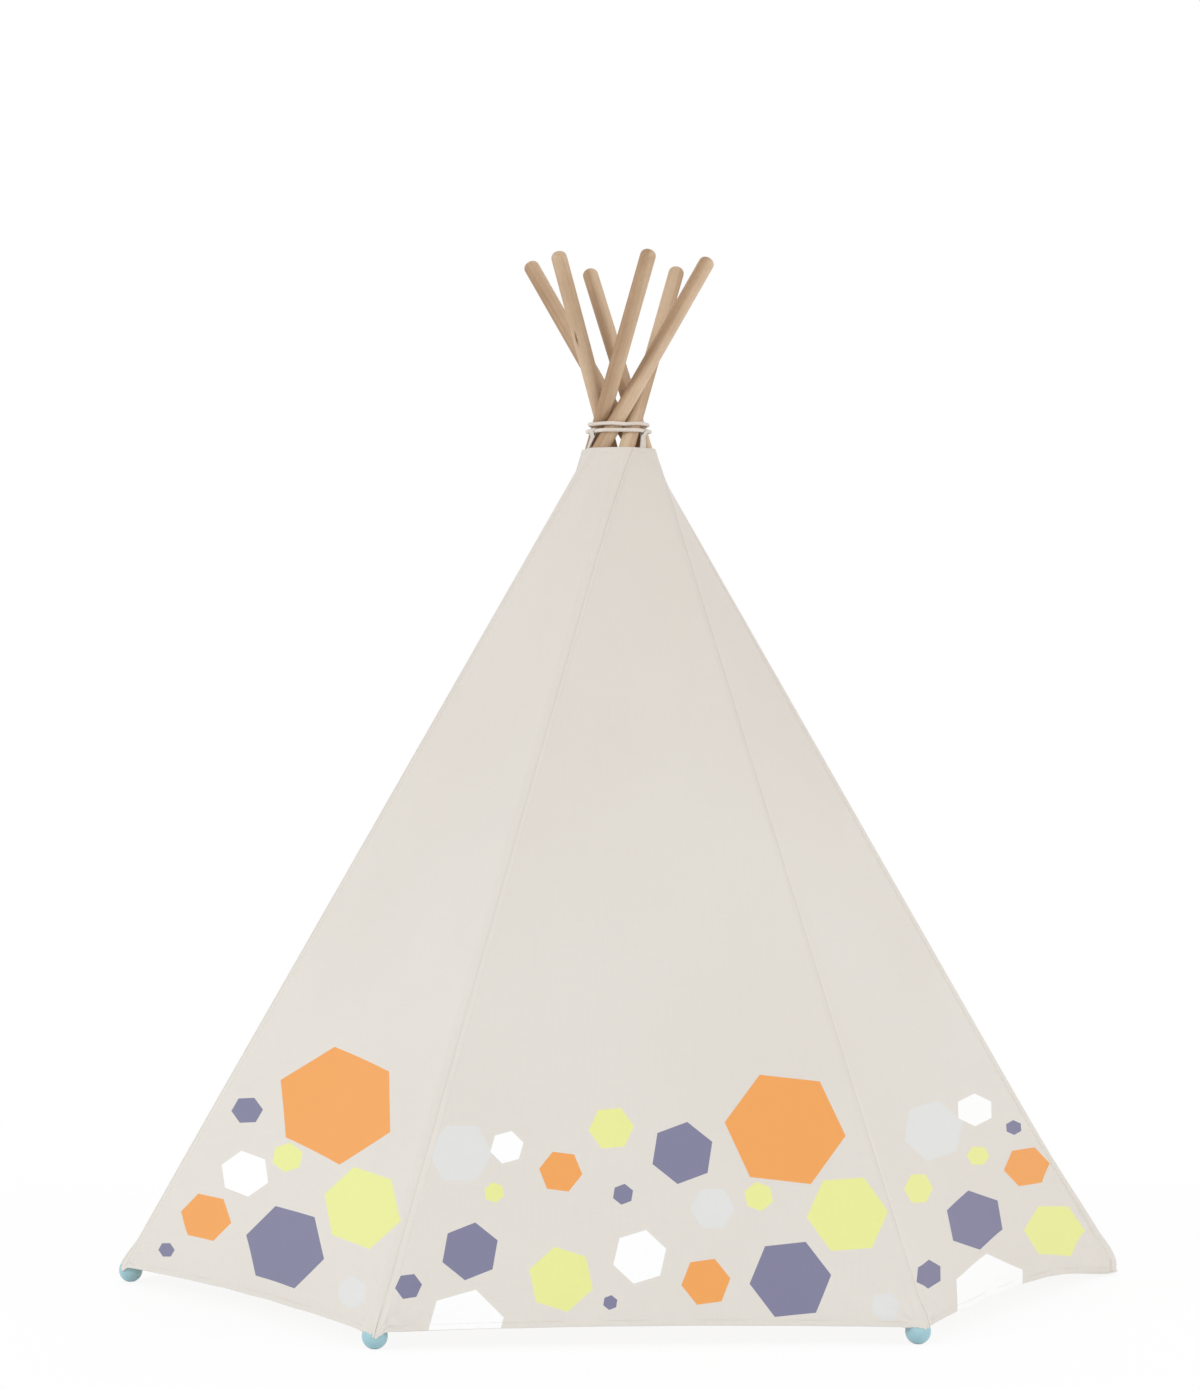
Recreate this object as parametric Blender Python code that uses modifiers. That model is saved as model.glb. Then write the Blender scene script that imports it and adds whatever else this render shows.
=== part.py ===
"""Play tent on six crossed wooden poles.

The poles are in two sections, joined by a metal tube, and each stands on a painted wooden ball.
They cross near their tips, where a cotton rope lashes them, and run down in tunnels sewn to the
corners of a canvas cover. One of the six sides is a doorway with two flaps. Metres, Z up, floor at 0.
"""

from math import atan, atan2, cos, exp, pi, radians, sin, sqrt, tan

import bmesh
import bpy
from mathutils import Euler, Matrix, Vector

# Stance
POLE_COUNT = 6
FOOT_SPACING = 0.773  # from one foot's centre to the next
CROSSING_HEIGHT = 1.370  # where each pole passes the tent's upright axis
POLE_CLEARANCE = 0.0023  # between neighbouring poles where they cross
FIT = 0.0003  # gap between pieces that touch

# Poles
POLE_DIAMETER = 0.025
POLE_LENGTH = 1.850
LOWER_SECTION = 0.930  # from the pole's lower end to the joint of its two sections
DOME = 0.0105  # height of the rounded tip
FERRULE_LENGTH = 0.080
FERRULE_WALL = 0.0008

# Feet
FOOT_DIAMETER = 0.037
FOOT_FLAT = 0.0006  # how much the floor side is flattened
POLE_SEAT = 0.0035  # how far the pole reaches past the ball's centre

# Cover
CANVAS = 0.0015
CANVAS_DROP = 0.051  # from the crossing down to the cover's top edge
HEM_HEIGHT = 0.026
HEM_RISE = 0.004  # the hem's middle lies this much higher than its corners
HEM_RISE_REACH = 0.25  # share of the cover's height over which that rise fades out
PANEL_BOW = 0.005  # how far a side draws in at its middle
BOW_SHIFT = 0.25  # share of the height that the bow's deepest line lies below the middle
SLEEVE_EASE = 0.0007
SLEEVE_WALL = 0.0012
SLEEVE_SETBACK = 0.022  # from the cover's top edge down to a tunnel's top
POCKET_EASE = 0.0008  # between a foot and the tunnel's wide end round it
POCKET_RISE = 0.050  # from the foot's centre up to where the tunnel starts to widen
POCKET_REACH = 0.060  # how far from a corner the cover follows the wide end
POCKET_SHOULDER = 0.7  # share of the foot's radius, up from its centre, where the tunnel is at its widest

# Door
DOOR_TOP = 1.000
FLAP_LAP = 0.025  # how far the flaps cover the head above the doorway
FLAP_OPEN_TOP = 0.006  # gap between the flaps at their top
FLAP_OPEN_HEM = 0.040  # gap between the flaps at their hem
FLAP_WAVE = 0.009
FLAP_WAVES = 2.5
LAYER_GAP = 0.0005
TIE_HEIGHT = 0.560
TIE_LENGTH = 0.240
TIE_WIDTH = 0.014
TIE_INSET = 0.022  # from the corner seam to the tape's middle
TAPE = 0.0005

# Lashing
ROPE_DIAMETER = 0.006
LASHING_LOW = -0.023  # the lower turn's height over the crossing
LASHING_PITCH = 0.011
LOOP_POINTS = 24
ROPE_OFF = 0.0006  # between the rope and the poles
KNOT_PITCH = 0.020
KNOT_TURNS = 1.5  # the strands turn round each other this many times
KNOT_RADIUS = 0.0035
KNOT_OUT = 0.0114  # from the lashing's turns out to the knot's middle
LEAD = 45  # degrees that a rope end leaves the turns before the knot
LEAD_BULGE = 0.5
TAIL_LENGTH = 0.075
TAIL_SPREAD = 0.010  # how far a tail moves sideways from the knot
LOOP_WIDTH = 0.012
LOOP_TAIL = 0.018  # how far a hanging loop reaches down inside the cover
LOOP_LAYER_GAP = 0.0003
LOOP_EASE = 0.0008  # between the rope and a loop's bend
LOOP_NECK = 0.009  # from the rope's middle down to where a loop's layers meet
LOOP_LEFT = radians(208)  # compass direction of the loop at the photograph's left
LOOP_LEFT_LEAN = radians(-20)  # how far it turns on its way down
LOOP_RIGHT = radians(331)
LOOP_RIGHT_LEAN = radians(-26)

# Facets
ROUND_STEPS = 16
NORMAL_STEP = radians(0.5)

# Worked out from the sizes above
HALF_STEP = pi / POLE_COUNT
POLE_RADIUS = POLE_DIAMETER / 2
FOOT_RADIUS = FOOT_DIAMETER / 2
ROPE_RADIUS = ROPE_DIAMETER / 2
FOOT_HEIGHT = FOOT_RADIUS - FOOT_FLAT
DROP = CROSSING_HEIGHT - FOOT_HEIGHT
CANVAS_TOP = CROSSING_HEIGHT - CANVAS_DROP
FOOT_RING = FOOT_SPACING / (2 * sin(HALF_STEP))
CROSSING_GAP = (POLE_DIAMETER + POLE_CLEARANCE) / (2 * sin(HALF_STEP))
SKEW = CROSSING_GAP * sqrt(
    (1 + (cos(HALF_STEP) * FOOT_RING / DROP) ** 2) / (1 + (cos(HALF_STEP) * CROSSING_GAP / DROP) ** 2)
)
SPREAD = sqrt(FOOT_RING**2 - SKEW**2)
TILT = atan(SPREAD / DROP)
WALL_LEAN = atan(cos(HALF_STEP) * tan(TILT))
REACH = DROP / cos(TILT)
POLE_END = -REACH - POLE_SEAT
POLE_TIP = POLE_END + POLE_LENGTH
JOINT = POLE_END + LOWER_SECTION
SPIGOT_RADIUS = POLE_RADIUS - FERRULE_WALL - FIT
TUNNEL_RADIUS = POLE_RADIUS + SLEEVE_EASE + SLEEVE_WALL
POCKET_RADIUS = FOOT_RADIUS + POCKET_EASE + SLEEVE_WALL


def material(name, colour, roughness, metallic=0.0):
    """A plain material in the piece's colour."""
    made = bpy.data.materials.new(name)
    made.use_nodes = True
    shader = made.node_tree.nodes["Principled BSDF"]
    shader.inputs["Base Color"].default_value = (*colour, 1)
    shader.inputs["Roughness"].default_value = roughness
    shader.inputs["Metallic"].default_value = metallic
    return made


def add(name, data, collection, finish=None, parent=None):
    """An object for the data, in its collection, under its parent."""
    obj = bpy.data.objects.new(name, data)
    collection.objects.link(obj)
    obj.parent = parent
    if finish:
        data.materials.append(finish)
    return obj


def smooth(mesh, angle=35):
    """Smooth shading, with the real edges left sharp."""
    mesh.shade_smooth()
    mesh.set_sharp_from_angle(angle=radians(angle))


def turned(name, profile, closed, collection, finish, parent):
    """A turned piece, from the radius and height of each point of its outline."""
    mesh = bpy.data.meshes.new(name)
    bm = bmesh.new()
    points = [bm.verts.new((radius, 0, height)) for radius, height in profile]
    for first, second in zip(points, points[1:]):
        bm.edges.new((first, second))
    if closed:
        bm.edges.new((points[-1], points[0]))
    bm.to_mesh(mesh)
    bm.free()
    obj = add(name, mesh, collection, finish, parent)
    screw = obj.modifiers.new("turn", "SCREW")
    screw.steps = ROUND_STEPS
    screw.render_steps = ROUND_STEPS
    screw.use_smooth_shade = True
    screw.use_merge_vertices = True
    screw.merge_threshold = 0.00005
    return obj


def cut(obj, cutter):
    """Takes the cutter's space out of the piece."""
    boolean = obj.modifiers.new("cut", "BOOLEAN")
    boolean.operation = "DIFFERENCE"
    boolean.solver = "EXACT"
    boolean.object = cutter


def slab(name, top, collection):
    """A wide cutting block under the height of its top."""
    bm = bmesh.new()
    bmesh.ops.create_cube(bm, size=1)
    depth = FOOT_DIAMETER
    side = 4 * FOOT_RING
    bmesh.ops.scale(bm, vec=(side, side, depth), verts=bm.verts)
    bmesh.ops.translate(bm, vec=(0, 0, top - depth / 2), verts=bm.verts)
    mesh = bpy.data.meshes.new(name)
    bm.to_mesh(mesh)
    bm.free()
    obj = add(name, mesh, collection)
    obj.hide_render = True
    obj.display_type = "WIRE"
    return obj


# Where the poles and the cover run


def lean_angle(pole):
    """The compass direction in which a pole leans out, turned back so that its foot stands on its corner."""
    return 2 * HALF_STEP * pole - atan2(SKEW, SPREAD)


def heading(angle):
    return Vector((cos(angle), sin(angle)))


def pole_frame(pole):
    """A pole's own frame: the origin where it crosses, Y along its hinge, Z up the pole."""
    side = heading(lean_angle(pole) + pi / 2) * SKEW
    turn = Euler((0, -TILT, lean_angle(pole))).to_matrix().to_4x4()
    return Matrix.Translation((*side, CROSSING_HEIGHT)) @ turn


def section(pole, height):
    """Where a level cut meets a pole: its centre, its lean's direction and the direction across."""
    along = heading(lean_angle(pole))
    across = heading(lean_angle(pole) + pi / 2)
    return across * SKEW + along * (CROSSING_HEIGHT - height) * tan(TILT), along, across


def support(pole, height, radius, angle):
    """How far a round of that radius on a pole reaches out in a direction, in a level cut."""
    centre, along, across = section(pole, height)
    out = heading(angle)
    stretch = sqrt((along.dot(out) / cos(TILT)) ** 2 + across.dot(out) ** 2)
    return centre.dot(out) + radius * stretch


def touch(pole, height, radius, angle):
    """The furthest point of that round in the direction."""
    centre, along, across = section(pole, height)
    out = heading(angle)
    long_part = along.dot(out) / cos(TILT)
    short_part = across.dot(out)
    stretch = sqrt(long_part**2 + short_part**2)
    return centre + (along * long_part / cos(TILT) + across * short_part) * radius / stretch


def tangent_angle(pole, height, radius):
    """The direction that faces the cloth pulled straight from a pole to the next one."""
    turn = atan2(SKEW, (CROSSING_HEIGHT - height) * tan(TILT))
    low = lean_angle(pole) + turn
    high = low + 2 * HALF_STEP
    for _ in range(40):
        middle = (low + high) / 2
        if support(pole + 1, height, radius, middle) > support(pole, height, radius, middle):
            high = middle
        else:
            low = middle
    return (low + high) / 2


def wrap(angle, height, clearance):
    """The point in a compass direction on a cord pulled round all the poles, and the way it faces."""
    best = None
    for step in range(int(pi / NORMAL_STEP) - 1):
        facing = angle - pi / 2 + (step + 1) * NORMAL_STEP
        reach = max(support(pole, height, clearance, facing) for pole in range(POLE_COUNT))
        distance = reach / cos(facing - angle)
        if best is None or distance < best[0]:
            best = (distance, facing)
    return heading(angle) * best[0], heading(best[1])


def pocket_radius(rise):
    """A tunnel's outer radius at a distance up the pole from the foot's centre."""
    share = min(1, max(0, (POCKET_RISE - rise) / (POCKET_RISE - FOOT_RADIUS * POCKET_SHOULDER)))
    return TUNNEL_RADIUS + (POCKET_RADIUS - TUNNEL_RADIUS) * share * share * (3 - 2 * share)


def cover_point(pole, share, height, out=0.0):
    """A point on the cover between a pole and the next, at a share of the way, that far off its inner face."""
    radius = TUNNEL_RADIUS + FIT
    angle = tangent_angle(pole, height, radius)
    near = touch(pole, height, radius, angle)
    far = touch(pole + 1, height, radius, angle)
    width = (far - near).length
    rise = (height - FOOT_HEIGHT) / cos(TILT) - POCKET_RADIUS * tan(TILT)
    swell = pocket_radius(rise) - TUNNEL_RADIUS
    corners = exp(-((share * width / POCKET_REACH) ** 2)) + exp(-(((1 - share) * width / POCKET_REACH) ** 2))
    up = (height - HEM_HEIGHT) / (CANVAS_TOP - HEM_HEIGHT)
    bow = PANEL_BOW * sin(pi * share) ** 2 * sin(pi * min(1, up + BOW_SHIFT))
    point = near.lerp(far, share) + heading(angle) * ((out + swell * corners - bow) / cos(WALL_LEAN))
    return Vector((*point, height + HEM_RISE * sin(pi * share) * max(0, 1 - up / HEM_RISE_REACH)))


# Pieces of one leg


def upper_section(pole, collection, finish, parent):
    """The pole's upper half: a rounded tip, the shaft and a spigot for the joint tube."""
    tip = [(POLE_RADIUS * sin(a), POLE_TIP - DOME * (1 - cos(a))) for a in (radians(22.5 * i) for i in range(5))]
    shoulder = JOINT + FERRULE_LENGTH / 2 + FIT
    foot = JOINT + FIT / 2
    spigot = [(POLE_RADIUS, shoulder), (SPIGOT_RADIUS, shoulder), (SPIGOT_RADIUS, foot), (0, foot)]
    return turned(f"pole_{pole + 1}_upper", tip + spigot, False, collection, finish, parent)


def lower_section(pole, collection, finish, parent):
    """The pole's lower half: a spigot for the joint tube, the shaft and a square end for the foot."""
    shoulder = JOINT - FERRULE_LENGTH / 2 - FIT
    head = JOINT - FIT / 2
    profile = [(0, head), (SPIGOT_RADIUS, head), (SPIGOT_RADIUS, shoulder), (POLE_RADIUS, shoulder)]
    profile += [(POLE_RADIUS, POLE_END), (0, POLE_END)]
    return turned(f"pole_{pole + 1}_lower", profile, False, collection, finish, parent)


def ferrule(pole, collection, finish, parent):
    """The metal tube over both spigots, flush with the wood."""
    top = JOINT + FERRULE_LENGTH / 2
    foot = JOINT - FERRULE_LENGTH / 2
    bore = POLE_RADIUS - FERRULE_WALL
    profile = [(POLE_RADIUS, top), (POLE_RADIUS, foot), (bore, foot), (bore, top)]
    return turned(f"pole_{pole + 1}_ferrule", profile, True, collection, finish, parent)


def ball_foot(pole, collection, finish, parent, floor):
    """The wooden ball on the pole's end: a blind bore for the pole, and a small flat that stands on the floor."""
    bore = POLE_RADIUS + FIT
    seat = POLE_END - FIT
    mouth = atan2(sqrt(FOOT_RADIUS**2 - bore**2), bore)
    arc_steps = 10
    profile = [(0, seat), (bore, seat)]
    for step in range(arc_steps + 1):
        angle = mouth - (mouth + pi / 2) * step / arc_steps
        profile.append((max(0, FOOT_RADIUS * cos(angle)), -REACH + FOOT_RADIUS * sin(angle)))
    obj = turned(f"pole_{pole + 1}_foot", profile, False, collection, finish, parent)
    cut(obj, floor)
    return obj


def sleeve(pole, collection, finish, parent, hem):
    """The canvas tunnel that holds the pole, with a wide end round the ball, cut level at the hem."""
    top = -(CROSSING_HEIGHT - CANVAS_TOP + SLEEVE_SETBACK) / cos(TILT)
    low = -REACH - FOOT_RADIUS
    rises = [POCKET_RISE * share for share in (1, 0.75, 0.5)] + [FOOT_RADIUS * POCKET_SHOULDER, -FOOT_RADIUS]
    outer = [(TUNNEL_RADIUS, top)] + [(pocket_radius(rise), rise - REACH) for rise in rises]
    inner = [(radius - SLEEVE_WALL, height) for radius, height in reversed(outer)]
    inner[0] = (inner[0][0], low)
    obj = turned(f"pole_{pole + 1}_sleeve", outer + inner, True, collection, finish, parent)
    cut(obj, hem)
    return obj


# Pieces of the cover


def levels(low, high):
    """Heights for a cloth's rows, closer at the pockets and towards the crossing, where the cover twists."""
    pocket = [HEM_HEIGHT + POCKET_RISE * share for share in (0, 0.25, 0.5, 0.8, 1.2)]
    start = CROSSING_HEIGHT - max(low, HEM_HEIGHT + 2 * POCKET_RISE)
    stop = CROSSING_HEIGHT - high
    steps = 9
    above = [CROSSING_HEIGHT - start * (stop / start) ** (step / steps) for step in range(steps + 1)]
    return [height for height in pocket if height >= low] + above


def cloth(name, place, columns, rows, collection, finish, frame=None, parent=None):
    """A cloth piece: a grid that place() lays from its share across and its height, thickened inwards."""
    bm = bmesh.new()
    bmesh.ops.create_grid(bm, x_segments=columns, y_segments=len(rows) - 1, size=0.5)
    for vert in bm.verts:
        across = (1 - cos(pi * (vert.co.x + 0.5))) / 2
        row = round((vert.co.y + 0.5) * (len(rows) - 1))
        vert.co = place(across, rows[row])
    mesh = bpy.data.meshes.new(name)
    bm.to_mesh(mesh)
    bm.free()
    if frame:
        mesh.transform(frame.inverted())
    smooth(mesh)
    obj = add(name, mesh, collection, finish, parent)
    skin = obj.modifiers.new("canvas", "SOLIDIFY")
    skin.thickness = CANVAS
    skin.offset = -1
    return obj


def wall(name, pole, low, collection, finish):
    """One side of the cover, from a height to the top edge."""

    def place(across, height):
        return cover_point(pole, across, height, CANVAS)

    return cloth(name, place, 10, levels(low, CANVAS_TOP), collection, finish)


def flap(name, pole, right, collection, finish, frame, parent):
    """One door flap, sewn along its pole's tunnel and open along the middle of the doorway, with soft waves."""
    top = DOOR_TOP + FLAP_LAP

    def place(across, height):
        up = (height - HEM_HEIGHT) / (top - HEM_HEIGHT)
        width = (cover_point(pole, 1, height) - cover_point(pole, 0, height)).length
        gap = FLAP_OPEN_HEM + (FLAP_OPEN_TOP - FLAP_OPEN_HEM) * up
        free = 0.5 - gap / 2 / width
        from_seam = across if right else 1 - across
        share = free * from_seam if right else 1 - free * from_seam
        wave = FLAP_WAVE * (1 - up) * from_seam * sin(2 * pi * FLAP_WAVES * from_seam)
        return cover_point(pole, share, height, 2 * CANVAS + LAYER_GAP + wave)

    return cloth(name, place, 20, levels(HEM_HEIGHT, top), collection, finish, frame, parent)


def flap_frame(pole, share):
    """A flap's hinge line: its frame's Z runs up the sewn edge."""
    middle = (HEM_HEIGHT + DOOR_TOP) / 2
    base = cover_point(pole, share, middle, CANVAS + LAYER_GAP)
    turn = pole_frame(pole + share).to_3x3().to_4x4()
    return Matrix.Translation(base) @ turn


def strip(name, centres, sides, width, thickness, collection, finish, frame=None, parent=None):
    """A tape: a ribbon through the centres, with the given directions across it."""
    bm = bmesh.new()
    rails = []
    for centre, side in zip(centres, sides):
        rails.append((bm.verts.new(centre - side * width / 2), bm.verts.new(centre + side * width / 2)))
    for first, second in zip(rails, rails[1:]):
        bm.faces.new((first[0], first[1], second[1], second[0]))
    mesh = bpy.data.meshes.new(name)
    bm.to_mesh(mesh)
    bm.free()
    if frame:
        mesh.transform(frame.inverted())
    smooth(mesh)
    obj = add(name, mesh, collection, finish, parent)
    skin = obj.modifiers.new("tape", "SOLIDIFY")
    skin.thickness = thickness
    skin.offset = 0
    return obj


def door_tie(name, pole, share, collection, finish, frame, parent):
    """The tape that holds a flap back, sewn beside the corner seam and hanging down the next side."""
    centres = []
    steps = 6
    for step in range(steps + 1):
        height = TIE_HEIGHT - TIE_LENGTH * cos(WALL_LEAN) * step / steps
        width = (cover_point(pole, 1, height) - cover_point(pole, 0, height)).length
        inset = TIE_INSET / width
        centres.append(cover_point(pole, 1 - inset if share else inset, height, CANVAS + FIT + TAPE / 2))
    across = (cover_point(pole, 1, TIE_HEIGHT) - cover_point(pole, 0, TIE_HEIGHT)).normalized()
    return strip(name, centres, [across] * len(centres), TIE_WIDTH, TAPE, collection, finish, frame, parent)


def hanging_loop(name, angle, lean, collection, finish):
    """A tape loop that hangs the cover on the lashing's lower turn. Its two layers meet under the rope."""
    middle = CROSSING_HEIGHT + LASHING_LOW
    bend = ROPE_RADIUS + LOOP_EASE + TAPE / 2
    foot = CANVAS_TOP - LOOP_TAIL
    neck = middle - LOOP_NECK
    centres = []
    sides = []

    def put(height, out):
        turn = angle + lean * (middle - height) / (middle - foot)
        point, facing = wrap(turn, height, POLE_RADIUS)
        centres.append(Vector((*(point + facing * out), height)))
        sides.append(Vector((-facing.y, facing.x, 0)))

    inner = FIT + TAPE / 2
    outer = inner + TAPE + LOOP_LAYER_GAP
    for step in range(4):
        put(foot + (neck - foot) * step / 3, inner / cos(WALL_LEAN))
    for step in range(9):
        around = radians(200 - 220 * step / 8)
        put(middle + bend * sin(around), ROPE_OFF + ROPE_RADIUS + bend * cos(around))
    for step in range(4):
        put(neck + (foot - neck) * step / 3, outer / cos(WALL_LEAN))
    return strip(name, centres, sides, LOOP_WIDTH, TAPE, collection, finish)


# Lashing


def rope_route():
    """The rope's centre line: two turns round the poles, joined by a half knot on the door side, and two tails."""
    seat = POLE_RADIUS + ROPE_OFF + ROPE_RADIUS
    low = CROSSING_HEIGHT + LASHING_LOW
    middle = low + LASHING_PITCH / 2
    knot_half = KNOT_PITCH * KNOT_TURNS / 2
    back, _ = wrap(pi / 2, middle, seat)

    def turn_point(turn):
        rise = min(1, max(0, (turn - 0.75) / 0.5))
        height = low + LASHING_PITCH * rise * rise * (3 - 2 * rise)
        facing = pi / 2 + 2 * pi * turn
        outermost = max(range(POLE_COUNT), key=lambda pole: support(pole, height, seat, facing))
        return Vector((*touch(outermost, height, seat, facing), height))

    def knot_point(along, phase):
        """A point of the half knot: along is counted towards the left pole, phase round the knot's middle line."""
        twist = 2 * pi * along / KNOT_PITCH + phase
        out = KNOT_OUT + KNOT_RADIUS * sin(twist)
        return Vector((-along, back.y + out, middle - KNOT_RADIUS * cos(twist)))

    def tail(side):
        """A loose end that bends down from the knot and lies on the cover."""
        start = knot_point(side * knot_half, side * pi / 2)
        points = []
        steps = 7
        for step in range(1, steps + 1):
            share = step / steps
            along = side * (knot_half + TAIL_SPREAD * sin(pi / 2 * min(1, 2 * share)))
            height = start.z - TAIL_LENGTH * share**1.5
            if height < CANVAS_TOP + ROPE_RADIUS:
                lying = TUNNEL_RADIUS + FIT + CANVAS + FIT + ROPE_RADIUS
            else:
                lying = seat + KNOT_OUT * 0.8
            point, _ = wrap(atan2(back.y + KNOT_OUT, -along), height, lying)
            eased = Vector((-along, start.y)).lerp(point, min(1, 2 * share))
            points.append(Vector((*eased, height)))
        return points

    ends = radians(LEAD) / (2 * pi)
    turns = round((2 - 2 * ends) * LOOP_POINTS)
    wound = [turn_point(ends + (2 - 2 * ends) * step / turns) for step in range(turns + 1)]
    knot_steps = 18
    alongs = [knot_half * (2 * step / knot_steps - 1) for step in range(knot_steps + 1)]
    first_strand = [knot_point(along, -pi / 2) for along in alongs]
    second_strand = [knot_point(along, pi / 2) for along in alongs]

    def lead(knot_end, turn_end):
        """The rope from the knot to the turns, level at first."""
        points = []
        for share in (0.2, 0.4, 0.6, 0.8):
            point = knot_end.lerp(turn_end, share)
            point.y += KNOT_OUT * LEAD_BULGE * sin(pi * share)
            point.z = knot_end.z + (turn_end.z - knot_end.z) * share**2
            points.append(point)
        return points

    route = list(reversed(tail(-1)))
    route += first_strand
    route += lead(first_strand[-1], wound[0])
    route += wound
    route += reversed(lead(second_strand[0], wound[-1]))
    route += second_strand
    route += tail(1)
    return route


def least_gap(route):
    """The narrowest gap between stretches of the rope that aren't neighbours."""
    along = [0.0]
    for first, second in zip(route, route[1:]):
        along.append(along[-1] + (second - first).length)
    best = 1.0
    for i, first in enumerate(route[:-1]):
        for j in range(i + 1, len(route) - 1):
            if along[j] - along[i + 1] < 2.5 * ROPE_DIAMETER:
                continue
            for share in (0, 0.25, 0.5, 0.75):
                point = first.lerp(route[i + 1], share)
                edge = route[j + 1] - route[j]
                nearest = route[j] + edge * min(1, max(0, (point - route[j]).dot(edge) / edge.length_squared))
                best = min(best, (point - nearest).length - ROPE_DIAMETER)
    return best


def rope(name, collection, finish):
    """The lashing, one unbroken tube."""
    route = rope_route()
    curve = bpy.data.curves.new(name, "CURVE")
    curve.dimensions = "3D"
    curve.bevel_depth = ROPE_RADIUS
    curve.bevel_resolution = 1
    curve.use_fill_caps = True
    spline = curve.splines.new("POLY")
    spline.points.add(len(route) - 1)
    for target, point in zip(spline.points, route):
        target.co = (*point, 1)
    print(f"{name}: {len(route)} points, least gap to itself {1000 * least_gap(route):.2f} mm")
    return add(name, curve, collection, finish)


def main():
    for obj in list(bpy.data.objects):
        bpy.data.objects.remove(obj, do_unlink=True)
    scene = bpy.context.scene
    scene.unit_settings.system = "METRIC"
    parts = bpy.data.collections.new("play_tent")
    cutters = bpy.data.collections.new("cutters")
    scene.collection.children.link(parts)
    scene.collection.children.link(cutters)

    wood = material("pine", (0.58, 0.40, 0.24), 0.55)
    paint = material("light_blue_paint", (0.30, 0.58, 0.65), 0.45)
    metal = material("joint_tube_steel", (0.60, 0.60, 0.60), 0.35, 1.0)
    canvas = material("cotton_canvas", (0.78, 0.74, 0.69), 0.95)
    tape = material("cotton_tape", (0.74, 0.68, 0.61), 0.95)
    cotton = material("cotton_rope", (0.74, 0.67, 0.60), 0.95)

    floor = slab("floor_cutter", 0, cutters)
    hem = slab("hem_cutter", HEM_HEIGHT, cutters)

    legs = []
    for pole in range(POLE_COUNT):
        hinge = add(f"pole_{pole + 1}_hinge", None, parts)
        hinge.matrix_world = pole_frame(pole)
        upper_section(pole, parts, wood, hinge)
        lower_section(pole, parts, wood, hinge)
        ferrule(pole, parts, metal, hinge)
        ball_foot(pole, parts, paint, hinge, floor)
        sleeve(pole, parts, canvas, hinge, hem)
        legs.append(hinge)

    door = 1
    for side in range(POLE_COUNT):
        if side != door:
            wall(f"wall_panel_{side + 1}", side, HEM_HEIGHT, parts, canvas)
    wall("door_head", door, DOOR_TOP, parts, canvas)

    for name, share in (("right", 0), ("left", 1)):
        pole = door + share
        frame = flap_frame(door, share)
        hinge = add(f"door_flap_{name}_hinge", None, parts, parent=legs[pole])
        hinge.matrix_local = pole_frame(pole).inverted() @ frame
        flap(f"door_flap_{name}", door, name == "right", parts, canvas, frame, hinge)
        next_side = door - 1 if name == "right" else door + 1
        at_end = name == "right"
        door_tie(f"door_tie_{name}", next_side, at_end, parts, tape, pole_frame(pole), legs[pole])

    hanging_loop("hanging_loop_left", LOOP_LEFT, LOOP_LEFT_LEAN, parts, tape)
    hanging_loop("hanging_loop_right", LOOP_RIGHT, LOOP_RIGHT_LEAN, parts, tape)
    rope("lashing_rope", parts, cotton)


main()
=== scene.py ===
"""Looks of the play tent: printed canvas, wooden poles, painted ball feet, a cotton lashing and tapes."""

from functools import lru_cache
from math import atan, atan2, cos, exp, pi, radians, sin, sqrt, tan

import bpy
from mathutils import Euler, Matrix, Vector, noise
from mathutils.geometry import delaunay_2d_cdt


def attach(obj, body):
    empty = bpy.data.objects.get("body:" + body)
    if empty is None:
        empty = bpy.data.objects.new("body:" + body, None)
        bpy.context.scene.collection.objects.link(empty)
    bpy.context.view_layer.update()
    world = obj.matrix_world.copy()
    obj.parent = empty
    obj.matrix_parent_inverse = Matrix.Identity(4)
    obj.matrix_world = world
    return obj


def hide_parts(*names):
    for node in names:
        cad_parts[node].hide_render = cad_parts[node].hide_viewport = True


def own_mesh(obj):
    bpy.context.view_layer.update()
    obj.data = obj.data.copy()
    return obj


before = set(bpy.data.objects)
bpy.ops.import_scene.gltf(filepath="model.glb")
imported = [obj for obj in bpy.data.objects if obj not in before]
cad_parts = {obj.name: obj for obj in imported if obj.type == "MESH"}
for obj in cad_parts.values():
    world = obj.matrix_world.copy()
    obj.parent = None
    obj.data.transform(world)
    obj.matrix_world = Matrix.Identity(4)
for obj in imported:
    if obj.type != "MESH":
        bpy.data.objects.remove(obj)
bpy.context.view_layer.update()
scene = bpy.context.scene


# Camera
# The photograph was taken from the front, at the height of an adult's waist, with a long lens.

LENS = 115.8
PAN = radians(3.225)
TILT = radians(0.264)
camera_data = bpy.data.cameras.new("camera")
camera_data.sensor_fit = "HORIZONTAL"
camera_data.lens = LENS
camera = bpy.data.objects.new("camera", camera_data)
scene.collection.objects.link(camera)
camera.location = (-0.3758, -6.1405, 0.9000)
look = Vector((sin(PAN), cos(PAN), tan(TILT)))
camera.rotation_euler = look.to_track_quat("-Z", "Y").to_euler()
scene.camera = camera


# Floor, backdrop and light
# A white studio: the floor keeps a faint shadow, and three large soft lamps light the cloth evenly.


def feed(tree, made, inputs):
    """Gives a node its inputs: a node or a socket is linked in, and any other value is set."""
    for key, value in inputs.items():
        if isinstance(value, bpy.types.Node):
            value = value.outputs[0]
        if isinstance(value, bpy.types.NodeSocket):
            tree.links.new(value, made.inputs[key])
        else:
            made.inputs[key].default_value = value


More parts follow.
